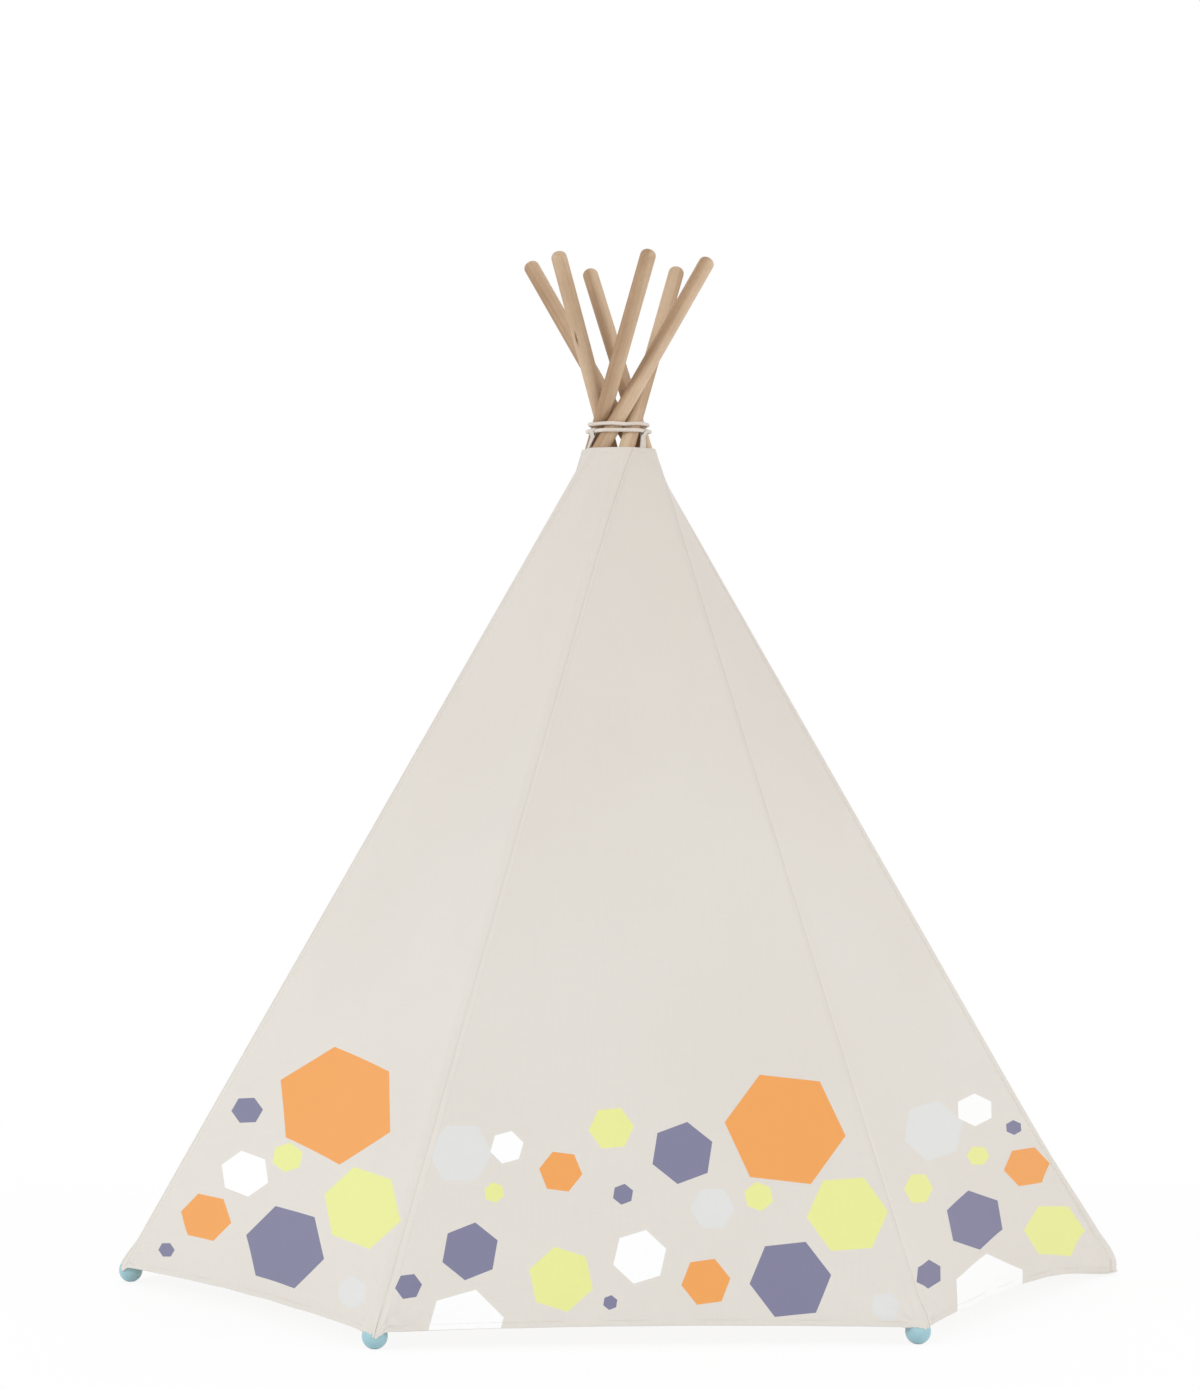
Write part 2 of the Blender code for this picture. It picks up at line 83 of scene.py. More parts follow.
def node(tree, kind, inputs, **settings):
    """A node of the kind, with its properties set and its inputs fed."""
    made = tree.nodes.new("ShaderNode" + kind)
    for key, value in settings.items():
        setattr(made, key, value)
    feed(tree, made, inputs)
    return made


def math(tree, operation, first, second=0.0):
    return node(tree, "Math", {0: first, 1: second}, operation=operation)


def vectors(tree, operation, first, second=(0, 0, 0)):
    return node(tree, "VectorMath", {0: first, 1: second}, operation=operation)


def spread(tree, value, low, high, start=0.0, end=1.0, smooth=False):
    """Low where the value is at its start, high where it is at its end, and level past them."""
    inputs = {"Value": value, "From Min": start, "From Max": end, "To Min": low, "To Max": high}
    return node(tree, "MapRange", inputs, interpolation_type="SMOOTHSTEP" if smooth else "LINEAR")


def seen_directly(tree):
    """1 where the camera sees this straight, mirrored or through glass."""
    path = node(tree, "LightPath", {}).outputs
    mirrored = math(tree, "MAXIMUM", path["Is Camera Ray"], path["Is Glossy Ray"])
    return math(tree, "MAXIMUM", mirrored, path["Is Transmission Ray"])


def new_material(name, inputs):
    """A material, its node tree and its shader, whose plain inputs are set."""
    made = bpy.data.materials.new(name)
    made.use_nodes = True
    tree = made.node_tree
    shader = tree.nodes["Principled BSDF"]
    feed(tree, shader, inputs)
    return made, tree, shader


def linked(name, mesh, materials):
    """The mesh as an object of the scene, with its materials."""
    for finish in materials:
        mesh.materials.append(finish)
    made = bpy.data.objects.new(name, mesh)
    scene.collection.objects.link(made)
    return made


FLOOR_GLOW = 0.89
UNDER_TENT = 0.5
plain = {"Base Color": (0.93, 0.93, 0.93, 1), "Roughness": 0.9, "Specular IOR Level": 0}
floor_material, tree, matte = new_material("floor", plain)
white = node(tree, "Emission", {"Color": (1, 1, 1, 1), "Strength": 1.0})
place = node(tree, "TexCoord", {}).outputs["Object"]
distance = vectors(tree, "LENGTH", place).outputs["Value"]
far_off = spread(tree, distance, FLOOR_GLOW, 1.0, 1.0, 2.6, smooth=True)
darker = spread(tree, distance, UNDER_TENT - FLOOR_GLOW, 0.0, 0.28, 0.52, smooth=True)
share = math(tree, "MULTIPLY", seen_directly(tree), math(tree, "ADD", far_off, darker))
mix = node(tree, "MixShader", {0: share, 1: matte, 2: white})
feed(tree, tree.nodes["Material Output"], {"Surface": mix})
floor_mesh = bpy.data.meshes.new("floor")
floor_mesh.from_pydata([(-30, -30, 0), (30, -30, 0), (30, 30, 0), (-30, 30, 0)], [], [(0, 1, 2, 3)])
floor = linked("floor", floor_mesh, [floor_material])

world = bpy.data.worlds.new("studio")
scene.world = world
world.use_nodes = True
tree = world.node_tree
strength = spread(tree, seen_directly(tree), 0.80, 1.0)
feed(tree, tree.nodes["Background"], {"Color": (1, 1, 1, 1), "Strength": strength})

for name, place, size, power, tint in (
    ("key_lamp", (-5.2, -3.0, 3.2), 2.0, 93, (1.0, 1.03, 1.055)),
    ("fill_lamp", (4.8, -2.6, 2.4), 2.0, 60, (1.0, 0.985, 0.98)),
    ("back_lamp", (0.8, 5.2, 3.4), 3.0, 60, (1.0, 1.0, 1.0)),
):
    lamp = bpy.data.lights.new(name, "AREA")
    lamp.shape = "DISK"
    lamp.size = size
    lamp.energy = power
    lamp.color = tint
    holder = bpy.data.objects.new(name, lamp)
    scene.collection.objects.link(holder)
    holder.location = place
    holder.rotation_euler = (Vector((0, 0, 0.7)) - Vector(place)).to_track_quat("-Z", "Y").to_euler()

scene.view_settings.view_transform = "Standard"


# Shapes of the frame
# The poles cross in one ring of six, and the cover is pulled straight from each pole's tunnel to the next.
# Poles and sides are counted from 0, and the doorway is the side between pole_2 and pole_3.

CORNERS = 6
CROSSING = 1.370
RING = 0.773
SKEW = 0.030458
FOOT_HEIGHT = 0.0179
LEAN = atan(sqrt(RING**2 - SKEW**2) / (CROSSING - FOOT_HEIGHT))
WALL_LEAN = atan(cos(pi / CORNERS) * tan(LEAN))
REACH = (CROSSING - FOOT_HEIGHT) / cos(LEAN)
TUNNEL = 0.0144
POCKET = 0.0205
SWELL = 0.62 * (POCKET - TUNNEL)
SWELL_STARTS = 0.050
SWELL_FULL = 0.013
FIT = 0.0003
CANVAS = 0.0015
COVER_TOP = 1.319
HEM = 0.026
HEM_RISE = 0.004
BOW = 0.005
SLACK = 0.008
DOORWAY = 1
HALVINGS = 34


def heading(angle):
    """The level direction at an angle from the X axis."""
    return Vector((cos(angle), sin(angle)))


def turn_of(pole):
    """The angle from the X axis that a pole leans towards."""
    return 2 * pi / CORNERS * pole - atan2(SKEW, sqrt(RING**2 - SKEW**2))


def pole_frame(pole):
    """The pole's own frame: its origin where it crosses the others, Z up the pole."""
    side = heading(turn_of(pole) + pi / 2) * SKEW
    return Matrix.Translation((*side, CROSSING)) @ Euler((0, -LEAN, turn_of(pole))).to_matrix().to_4x4()


def level_cut(pole, height, angle):
    """A pole in a level cut: its centre, its long and short ways, and a direction's part along each."""
    along = heading(turn_of(pole))
    across = heading(turn_of(pole) + pi / 2)
    out = heading(angle)
    centre = across * SKEW + along * (CROSSING - height) * tan(LEAN)
    return centre, along, across, along.dot(out) / cos(LEAN), across.dot(out)


def support(pole, height, radius, angle):
    """How far a round of the radius on a pole reaches out in a direction, in a level cut."""
    centre, _, _, long_part, short_part = level_cut(pole, height, angle)
    return centre.dot(heading(angle)) + radius * sqrt(long_part**2 + short_part**2)


def touch(pole, height, radius, angle):
    """The furthest point of that round in the direction."""
    centre, along, across, long_part, short_part = level_cut(pole, height, angle)
    reach = sqrt(long_part**2 + short_part**2)
    return centre + (along * long_part / cos(LEAN) + across * short_part) * radius / reach


@lru_cache(None)
def span(height):
    """Where the cloth leaves the first tunnel and meets the next, and the way it faces."""
    low = turn_of(0)
    high = low + pi / 2 + pi / CORNERS
    for _ in range(HALVINGS):
        middle = (low + high) / 2
        if support(1, height, TUNNEL + FIT, middle) > support(0, height, TUNNEL + FIT, middle):
            high = middle
        else:
            low = middle
    near = touch(0, height, TUNNEL + FIT, low)
    far = touch(1, height, TUNNEL + FIT, low)
    return near, far, low


def width(height):
    """How wide a side is between its two tunnels."""
    near, far, _ = span(height)
    return (far - near).length


def swell_by(rise):
    """How much wider a tunnel is than its plain part, at a rise along the pole from the ball's middle."""
    share = min(1, max(0, (SWELL_STARTS - rise) / (SWELL_STARTS - SWELL_FULL)))
    return SWELL * share * share * (3 - 2 * share)


def swell_at(height):
    """The same on the outer side of the tunnel, at a height over the floor."""
    return swell_by((height - FOOT_HEIGHT) / cos(LEAN) - POCKET * tan(LEAN))


def bell(distance, reach):
    """1 at no distance, and falling smoothly to nothing beyond the reach."""
    return exp(-((distance / reach) ** 2))


def part_up(height):
    """The share of the cover's height, from its hem to its top."""
    return (height - HEM) / (COVER_TOP - HEM)


def cover(side, share, height, out=0.0):
    """A point of the cover on a side, at a share of the way across, that far off its inner face."""
    near, far, facing = span(height)
    wide = (far - near).length
    corners = bell(share * wide, 0.06) + bell((1 - share) * wide, 0.06)
    up = part_up(height)
    slack = 0 if side == DOORWAY else SLACK * sin(pi * share)
    bow = (BOW * sin(pi * share) ** 2 + slack) * sin(pi * min(1, up + 0.25))
    off = (out + swell_at(height) * corners - bow) / cos(WALL_LEAN)
    turned = Matrix.Rotation(side * 2 * pi / CORNERS, 2) @ (near.lerp(far, share) + heading(facing) * off)
    return Vector((*turned, height + HEM_RISE * sin(pi * share) * max(0, 1 - 4 * up)))


# Cloth
# Plain-woven cotton for the canvas, its prints, the thread and the tapes.
# They share one weave, as a node group: uneven threads over and under, with slubs both ways.


def group(name, takes, gives):
    """An empty node group with named sockets, what comes in by them, and the node that it goes out by."""
    made = bpy.data.node_groups.new(name, "ShaderNodeTree")
    for way, sockets in (("INPUT", takes), ("OUTPUT", gives)):
        for socket, kind in sockets.items():
            made.interface.new_socket(socket, in_out=way, socket_type="NodeSocket" + kind)
    return made, made.nodes.new("NodeGroupInput").outputs, made.nodes.new("NodeGroupOutput")


def mottled(tree, place, scale, detail, **more):
    """Cloudy noise at a place."""
    return node(tree, "TexNoise", {"Vector": place, "Scale": scale, "Detail": detail, **more})


def stretched(tree, place, scale):
    return node(tree, "Mapping", {"Vector": place, "Scale": scale})


def times(tree, vector, factor):
    """A colour or a vector times a number."""
    return node(tree, "VectorMath", {0: vector, "Scale": factor}, operation="SCALE")


def blended(tree, share, first, second):
    """The first colour at a share of 0, the second at 1."""
    inputs = {"Factor": share, "A": first, "B": second}
    return node(tree, "Mix", inputs, data_type="RGBA").outputs["Result"]


def relief(tree, height, strength, distance=0.0003):
    return node(tree, "Bump", {"Height": height, "Strength": strength, "Distance": distance})


def linear(colour):
    """An 8-bit screen colour as the renderer's linear values."""
    parts = [value / 255 for value in colour]
    return (*[part / 12.92 if part <= 0.04045 else ((part + 0.055) / 1.055) ** 2.4 for part in parts], 1)


weave, given, leave = group(
    "plain_weave", {"Place": "Vector", "Threads": "Float"}, {"Height": "Float", "Tint": "Float"}
)
scaled = times(weave, given["Place"], given["Threads"])
uneven = mottled(weave, scaled, 0.09, 2.0).outputs["Color"]
bent = node(weave, "VectorMath", {0: uneven, 1: (0.5, 0.5, 0.5), 2: scaled}, operation="MULTIPLY_ADD")
parts = node(weave, "SeparateXYZ", {0: bent}).outputs
warp = math(weave, "SINE", math(weave, "MULTIPLY", parts["X"], pi))
weft = math(weave, "SINE", math(weave, "MULTIPLY", parts["Y"], pi))
over = math(weave, "GREATER_THAN", math(weave, "MULTIPLY", warp, weft))
threads = {"Factor": over, "A": math(weave, "ABSOLUTE", warp), "B": math(weave, "ABSOLUTE", weft)}
total = mottled(weave, given["Place"], 5.0, 4.0)
for slubs in ((14, 420, 1), (420, 14, 1)):
    total = math(weave, "ADD", total, mottled(weave, stretched(weave, given["Place"], slubs), 1.0, 3.0))
feed(weave, leave, {"Height": node(weave, "Mix", threads), "Tint": math(weave, "DIVIDE", total, 3.0)})


def cloth_material(name, low, high, contrast, threads, bump):
    """Woven cotton: its colour at the hem and at the top, how much it varies, threads a metre, relief."""
    plain = {"Roughness": 0.92, "Specular IOR Level": 0.2, "Sheen Weight": 0.08, "Sheen Roughness": 0.6}
    made, tree, shader = new_material(name, plain)
    places = node(tree, "TexCoord", {}).outputs
    woven = node(tree, "Group", {"Place": places["UV"], "Threads": threads}, node_tree=weave).outputs
    height = node(tree, "SeparateXYZ", {0: places["Object"]}).outputs["Z"]
    rise = spread(tree, height, 0.0, 1.0, 0.1, 1.35, smooth=True)
    drift = spread(tree, mottled(tree, places["Object"], 2.4, 1.0), -0.25, 0.25, 0.3, 0.7)
    level = node(tree, "Math", {0: rise, 1: drift}, operation="ADD", use_clamp=True)
    base = blended(tree, level, linear(low), linear(high))
    tinted = times(tree, base, spread(tree, woven["Tint"], 1 - contrast, 1 + contrast, 0.3, 0.7))
    # Painted shade: the colour is darkened where the threads dip, between them.
    groove_shaded = times(tree, tinted, spread(tree, woven["Height"], 0.93, 1.0))
    feed(tree, shader, {"Base Color": groove_shaded, "Normal": relief(tree, woven["Height"], bump)})
    return made


THREADS = 1100
DAYLIGHT = 0.30
canvas = cloth_material("canvas", (230, 225, 217), (224, 217, 208), 0.020, THREADS, 0.5)
prints = {}
for name, colour, contrast in (
    ("orange", (243, 168, 96), 0.015),
    ("purple", (133, 132, 159), 0.02),
    ("yellow", (235, 238, 157), 0.015),
    ("grey", (227, 227, 225), 0.015),
    ("white", (255, 255, 255), 0.01),
):
    prints[name] = cloth_material("print_" + name, colour, colour, contrast, THREADS, 0.35)
thread = cloth_material("thread", (221, 207, 187), (213, 198, 177), 0.03, 2500, 0.3)
tape = cloth_material("tape", (226, 217, 207), (226, 217, 207), 0.03, 1500, 0.6)

# The inner face glows a little in its own colour, for the daylight that comes through the canvas.
inside_face = cloth_material("canvas_inside", (226, 219, 209), (216, 206, 196), 0.020, THREADS, 0.5)
shader = inside_face.node_tree.nodes["Principled BSDF"]
inner_colour = shader.inputs["Base Color"].links[0].from_socket
feed(inside_face.node_tree, shader, {"Emission Color": inner_colour, "Emission Strength": DAYLIGHT})


# Canvas pieces
# Each side is cut in two at its middle, so that each half follows its own pole when the tent folds.
# The cloth is hemmed, printed on its outer face, and hangs a little uneven over the ball feet.

CLOTH = 0.0011
HEM_FOLD = 0.014
HEM_STITCH = 0.0075
TOP_FOLD = 0.010
TOP_STITCH = 0.0085
ARC = 0.0168
STRAIGHT_DOWN = 0.021
LOW_CORNER = 0
LOW_HANG = 0.0225
LOW_BULGE = 0.0065
CLOSING_SIDE = 5
CLOSING_SEAM = 0.0145
SEAM_DENT = 0.0016
FOOT_FOLDS = 0.0012
HEM_RIPPLE = 0.0012
TOP_ROLL = 0.0004
SOFT_WAVES = 0.0022
# For each corner: how far along the hem its lowest tip hangs, and how deep.
TIPS = [(0.0, 0.0), (0.002, 0.003), (-0.004, 0.004), (0.009, 0.0065), (0.001, 0.0085), (-0.009, 0.003)]
STITCH = 0.0045
SEAM_STITCH = 0.0048
SEAM_RUNS = 12
ON_CLOTH = 0.0001


def normal_of(place, across, height, step=0.001, ends=None):
    """The cloth's outward direction, from its neighbours in the two flat directions."""
    low, high = across - step, across + step
    if ends:
        low, high = max(ends[0], low), min(ends[1], high)
    sideways = place(high, height) - place(low, height)
    upwards = place(across, height + 0.001) - place(across, height - 0.001)
    return sideways.cross(upwards).normalized()


def stitch_mesh(start, end, out, base):
    """A stitch from that vertex number on: its points, their normals and its faces."""
    along = (end - start).normalized()
    across = along.cross(out).normalized()
    middle = (start + end) / 2
    ring = [(across, 0.00030), (out, 0.00022), (-across, 0.00030), (-out, 0.0001)]
    points = [start, end] + [middle + way * size for way, size in ring]
    normals = [-along, along] + [way for way, _ in ring]
    faces = []
    for i in range(4):
        one, two = base + 2 + i, base + 2 + (i + 1) % 4
        faces += [(base, one, two), (base + 1, two, one)]
    return points, normals, faces


def sewn(name, points, normals, flats, faces, thickness, finishes, kinds=None, stitches=()):
    """A cloth of two faces and rims, with its stitches. The last of the finishes is their thread."""
    count = len(points)
    depth = [thickness(flat) if callable(thickness) else thickness for flat in flats]
    places = list(points) + [point - normal * deep for point, normal, deep in zip(points, normals, depth)]
    corners = [tuple(face) for face in faces] + [tuple(count + i for i in reversed(face)) for face in faces]
    within = finishes.index(inside_face) if inside_face in finishes else 0
    indices = list(kinds or [0] * len(faces)) + [within] * len(faces)
    edges = {pair for face in faces for pair in zip(face, (*face[1:], face[0]))}
    rims = [(b, a, count + a, count + b) for a, b in sorted(edges) if (b, a) not in edges]
    corners += rims
    indices += [0] * len(rims)
    rim_range = range(2 * len(faces), len(corners))
    flat_all = list(flats) + list(flats)
    vertex_normals = list(normals) + [-normal for normal in normals]
    for stitch in stitches:
        new_points, new_normals, new_faces = stitch_mesh(*stitch, len(places))
        places += new_points
        vertex_normals += new_normals
        flat_all += [(0, 0)] * len(new_points)
        corners += new_faces
        indices += [len(finishes) - 1] * len(new_faces)
    mesh = bpy.data.meshes.new(name)
    mesh.from_pydata(places, [], corners)
    mesh.polygons.foreach_set("material_index", indices)
    layer = mesh.uv_layers.new(name="flat")
    loop_normals = []
    for polygon in mesh.polygons:
        on_rim = polygon.index in rim_range
        for loop in polygon.loop_indices:
            vertex = mesh.loops[loop].vertex_index
            layer.data[loop].uv = flat_all[vertex]
            loop_normals.append(polygon.normal.copy() if on_rim else vertex_normals[vertex])
    mesh.shade_smooth()
    mesh.normals_split_custom_set(loop_normals)
    return linked(name, mesh, finishes)


def stitch_row(place, start, end, pitch=STITCH):
    """Stitches along a flat line: place() gives the surface, and each stitch lies on it."""
    (x0, h0), (x1, h1) = start, end
    count = max(1, round((place(x1, h1) - place(x0, h0)).length / pitch))
    made = []
    for i in range(count):
        first = i / count
        last = (i + 0.66) / count
        a = place(x0 + (x1 - x0) * first, h0 + (h1 - h0) * first)
        b = place(x0 + (x1 - x0) * last, h0 + (h1 - h0) * last)
        out = normal_of(place, x0 + (x1 - x0) * first, h0 + (h1 - h0) * first)
        made.append((a, b, out))
    return made


def seam_rows(place, across_at, low, high):
    """Stitches up a seam, in short runs that follow the cloth: across_at() gives its place at a height."""
    made = []
    for run in range(SEAM_RUNS):
        start, stop = (low + (high - low) * step / SEAM_RUNS for step in (run, run + 1))
        made += stitch_row(place, (across_at(start), start), (across_at(stop), stop), SEAM_STITCH)
    return made


def gathers(near, height, seed):
    """Small folds over a foot, where the hem is drawn together."""
    low = exp(-(height - HEM) / 0.012)
    folds = 0.0006 * low * bell(near, 0.028) * sin(near * 250 + seed * 1.7)
    return folds + 0.0007 * low * bell(near - 0.018, 0.012) * sin((height - HEM) * 700 - near * 150 + seed)


def creases(side, share, height):
    """Soft pulls in the cloth: folds that fan out over each foot and a slight ripple along the hem."""
    wide = width(height)
    out = 0.0
    for near, seed in ((share * wide, side % CORNERS), ((1 - share) * wide, (side + 1) % CORNERS)):
        away = sqrt(near**2 + (height - HEM) ** 2)
        angle = atan2(height - HEM, near + 1e-6)
        out += FOOT_FOLDS * bell(away, 0.16) * (1 - bell(away, 0.02)) * sin(9 * angle + seed)
        out += gathers(near, height, seed)
    out += HEM_RIPPLE * exp(-(height - HEM) / 0.05) * sin(pi * share) * sin(11 * share * pi + side)
    out += TOP_ROLL * exp(-(((COVER_TOP - 0.004 - height) / 0.005) ** 4))
    drift = noise.noise(Vector((share * 2.2 + side * 7.1, height * 1.6, 0.3)))
    return out + SOFT_WAVES * drift * sin(pi * share)


def arc_at(height):
    """How far the cloth runs on round the next tunnel."""
    return ARC + swell_at(height) * pi / 3


def droop(side, near_share, far_share, height):
    """How far the cloth hangs below its row: a tip over each foot, and one corner that hides its ball."""
    low = 0.0
    fade = exp(-((max(0, height - HEM) / 0.028) ** 1.5))
    for near, corner, way in ((near_share, side, 1), (far_share, side + 1, -1)):
        if corner % CORNERS == LOW_CORNER:
            low += LOW_HANG * fade * bell(near, 0.15)
        middle, deep = TIPS[corner % CORNERS]
        along = near * way - (arc_at(height) if way < 0 else 0)
        tip = deep * bell(along - middle, 0.0075) + 0.0006 * bell(near, 0.03) * sin(along * 900)
        low += fade * fade * tip
    return low


def hung_from(height):
    """The height that cloth hangs straight down from: its own, or near the floor a little above it."""
    return (height + STRAIGHT_DOWN + sqrt((height - STRAIGHT_DOWN) ** 2 + 0.008**2)) / 2


def side_place(side, out=CANVAS):
    """A side's visible face, from the distance off its middle and the height, and round the next tunnel."""

    def place(across, height):
        wide = width(height)
        over = across - wide / 2
        share = min(1.0, 0.5 + across / wide)
        lower = height - droop(side, share * wide, min((1 - share) * wide, wide / 2 - across), height)
        off = out + creases(side, share, height)
        if (side + round(share)) % CORNERS == LOW_CORNER:
            off += LOW_BULGE * bell(min(share, 1 - share) * wide, 0.04) * bell(height - 0.060, 0.09)
        if side == CLOSING_SIDE:
            off -= SEAM_DENT * bell(over + CLOSING_SEAM, 0.0009)
        seat = hung_from(lower)
        off -= 0.1 * (seat - lower)
        if over <= 0:
            return cover(side, share, seat, off) + Vector((0, 0, lower - seat))
        part = min(1.0, over / arc_at(height))
        _, _, facing = span(seat)
        off += 0.0009 * exp(-(height - HEM) / 0.012) * sin(part * 10 + side) * sin(pi * part)
        turned = facing + (side + part) * pi / 3
        point = touch(side + 1, seat, TUNNEL + FIT + off + swell_at(seat), turned)
        return Vector((*point, lower))

    return place


def levels(low, high):
    """The heights of a cloth's rows: close together over the hem, and wider apart above."""
    shares = (0, 0.05, 0.1, 0.16, 0.22, 0.3, 0.4, 0.5, 0.62, 0.75, 0.9, 1.1, 1.35, 1.65)
    pocket = [HEM + 0.05 * share for share in shares] + [0.152, 0.182, 0.215, 0.250]
    start = CROSSING - max(low, HEM + 0.1)
    stop = CROSSING - high
    above = [CROSSING - start * (stop / start) ** (step / 22) for step in range(23)]
    return sorted([height for height in pocket if height >= low] + above)


def hexagon(x, y, radius, angle, pull):
    """The corners of a printed hexagon, drawn out of regular by the pull's rows."""
    corners = []
    for i in range(6):
        way = Vector((cos(radians(angle + 60 * i)), sin(radians(angle + 60 * i)))) * radius
        corners.append(Vector((x + way.dot(Vector(pull[0])), y + way.dot(Vector(pull[1])))))
    return corners


def inside(corners, point):
    """Whether a flat point lies within the corners."""
    for first, second in zip(corners, corners[1:] + corners[:1]):
        if (second - first).cross(point - first) < 0:
            return False
    return True


def row_of(height):
    """The flat places across a side: closer at its edges, and on round the next tunnel."""
    half = width(height) / 2
    places = [-half + start for start in (0, 0.0015, 0.003, 0.005, 0.007, 0.009, 0.0115)]
    places += [-half * cos(pi * i / 20) for i in range(2, 10)] + [0.0]
    places += [(half - 0.0200) * sin(pi * i / 16) for i in range(1, 9)]
    backs = (0.0170, 0.0154, 0.0145, 0.0136, 0.0120, 0.0095, 0.0070, 0.0045, 0.0022, 0)
    places += [half - back for back in backs]
    shares = (0.08, 0.2, 0.32, 0.44, 0.56, 0.68, 0.8, 0.88, 0.93, 0.965, 1.0)
    return places + [half + arc_at(height) * part for part in shares]


def cut_cloth(low, high, shapes):
    """Triangles of a side's flat cloth between two heights, with the printed shapes cut into it."""
    rows = levels(low, high)
    slope = cos(WALL_LEAN)
    points = []
    edges = []
    grid = []
    for height in rows:
        line = []
        for x in row_of(height):
            line.append(len(points))
            points.append(Vector((x, height / slope)))
        grid.append(line)
    middle = row_of(rows[0]).index(0.0)
    columns = [*range(7), middle, *range(middle + 8, len(grid[0]))]
    for row in range(len(rows) - 1):
        for column in columns:
            edges.append((grid[row][column], grid[row + 1][column]))
    for line in (grid[0], grid[-1]):
        edges += list(zip(line, line[1:]))
    for _, corners in shapes:
        outline = []
        for corner, after in zip(corners, corners[1:] + corners[:1]):
            pieces = 1 + int((after - corner).length / 0.02)
            outline += [corner.lerp(after, i / pieces) for i in range(pieces)]
        base = len(points)
        points += outline
        edges += [(base + i, base + (i + 1) % len(outline)) for i in range(len(outline))]
    found, _, faces, _, _, _ = delaunay_2d_cdt(points, edges, [], 0, 1e-5)
    kept = []
    kinds = []
    for face in faces:
        centre = sum((found[i] for i in face), Vector((0, 0))) / len(face)
        height = centre.y * slope
        if not low < height < high:
            continue
        half = width(height) / 2
        if not -half < centre.x < half + arc_at(height):
            continue
        kind = 0
        for colour, corners in shapes:
            if inside(corners, centre):
                kind = 1 + list(prints).index(colour)
        kept.append(tuple(face))
        kinds.append(kind)
    return [(point.x, point.y * slope) for point in found], kept, kinds


def picked(flats, faces, kinds, way):
    """The part of a cut cloth on one side of its middle, 1 or -1, with its points numbered afresh."""
    numbers = {}
    places = []
    out_faces = []
    out_kinds = []
    for face, kind in zip(faces, kinds):
        centre = sum(flats[i][0] for i in face) / len(face)
        if centre * way <= 0:
            continue
        for i in face:
            if i not in numbers:
                numbers[i] = len(places)
                places.append(flats[i])
        out_faces.append(tuple(numbers[i] for i in face))
        out_kinds.append(kind)
    return places, out_faces, out_kinds


# Each print: its colour, its place off the side's middle and up the cloth, its radius and its angle.
PRINT = {
    "left": [
        ("purple", -0.2165, 0.311, 0.0245, 0), ("orange", 0.028, 0.342, 0.0991, 32),
        ("white", -0.148, 0.210, 0.0393, 36), ("yellow", -0.050, 0.247, 0.0253, 19),
        ("orange", -0.204, 0.131, 0.0418, 46), ("yellow", 0.2275, 0.198, 0.0656, 43),
        ("purple", 0.058, 0.113, 0.0676, 45.5), ("purple", -0.2755, 0.068, 0.0132, 0),
        ("grey", 0.305, 0.076, 0.0245, 33),
    ],
    "middle": [
        ("purple", -0.340, 0.095, 0.0200, 7), ("grey", -0.268, 0.294, 0.0485, 59),
        ("white", -0.201, 0.302, 0.0259, 15), ("yellow", -0.219, 0.233, 0.0158, 40),
        ("orange", -0.123, 0.263, 0.0331, 52), ("yellow", -0.049, 0.329, 0.0347, 5),
        ("purple", 0.054, 0.290, 0.0487, 21), ("purple", -0.033, 0.227, 0.0162, 21),
        ("grey", 0.096, 0.205, 0.0340, 0), ("purple", -0.253, 0.145, 0.0438, 21),
        ("white", -0.260, 0.030, 0.0597, 15), ("yellow", -0.123, 0.100, 0.0498, 42),
        ("purple", -0.053, 0.064, 0.0112, 21), ("white", -0.010, 0.132, 0.0415, 17),
        ("orange", 0.084, 0.094, 0.0371, 8.5), ("orange", 0.204, 0.327, 0.0923, 54),
        ("yellow", 0.163, 0.223, 0.0227, 40), ("yellow", 0.290, 0.197, 0.0618, 5),
        ("purple", 0.205, 0.098, 0.0616, 7), ("grey", 0.339, 0.059, 0.0224, 15),
    ],
    "right": [
        ("purple", -0.302, 0.096, 0.0220, 28), ("yellow", -0.202, 0.218, 0.0258, 0),
        ("grey", -0.045, 0.294, 0.0525, 19), ("white", 0.1435, 0.310, 0.0288, 34),
        ("purple", 0.253, 0.269, 0.0132, 36), ("yellow", 0.082, 0.238, 0.0176, 0),
        ("orange", 0.2365, 0.203, 0.0362, 12), ("purple", -0.0395, 0.145, 0.0493, 40),
        ("yellow", 0.2285, 0.0955, 0.0468, 1.5), ("white", -0.106, 0.032, 0.0655, 34),
    ],
}


def shapes_of(name, pull, mirrored=False):
    """The printed shapes of a side, each a colour and its corners."""
    made = []
    for colour, x, y, radius, angle in PRINT[name]:
        if mirrored:
            x, angle = -x, 180 - angle
        made.append((colour, hexagon(x, y, radius, angle, pull)))
    return made


def fold_axis(side, at_far):
    """The direction across a side, square to the pole that it folds to, and a point on its edge there."""
    pole = (side + at_far) % CORNERS
    middle = 0.6
    edge = cover(side, at_far, middle, CANVAS)
    out = normal_of(side_place(side), (at_far - 0.5) * width(middle), middle)
    along = pole_frame(pole).to_3x3().col[2]
    return out.cross(along).normalized(), edge


def half_flat(low, high):
    """The flat area of half a side between two heights."""
    steps = 60
    total = sum(width(low + (high - low) * (i + 0.5) / steps) for i in range(steps))
    return total / 2 * (high - low) / steps / cos(WALL_LEAN)


def hemmed(low, high):
    """The cloth's thickness: doubled where it is folded over at the hem and at the top."""

    def thickness(flat):
        return 2 * CLOTH if flat[1] < low + HEM_FOLD or flat[1] > high - TOP_FOLD else CLOTH

    return thickness


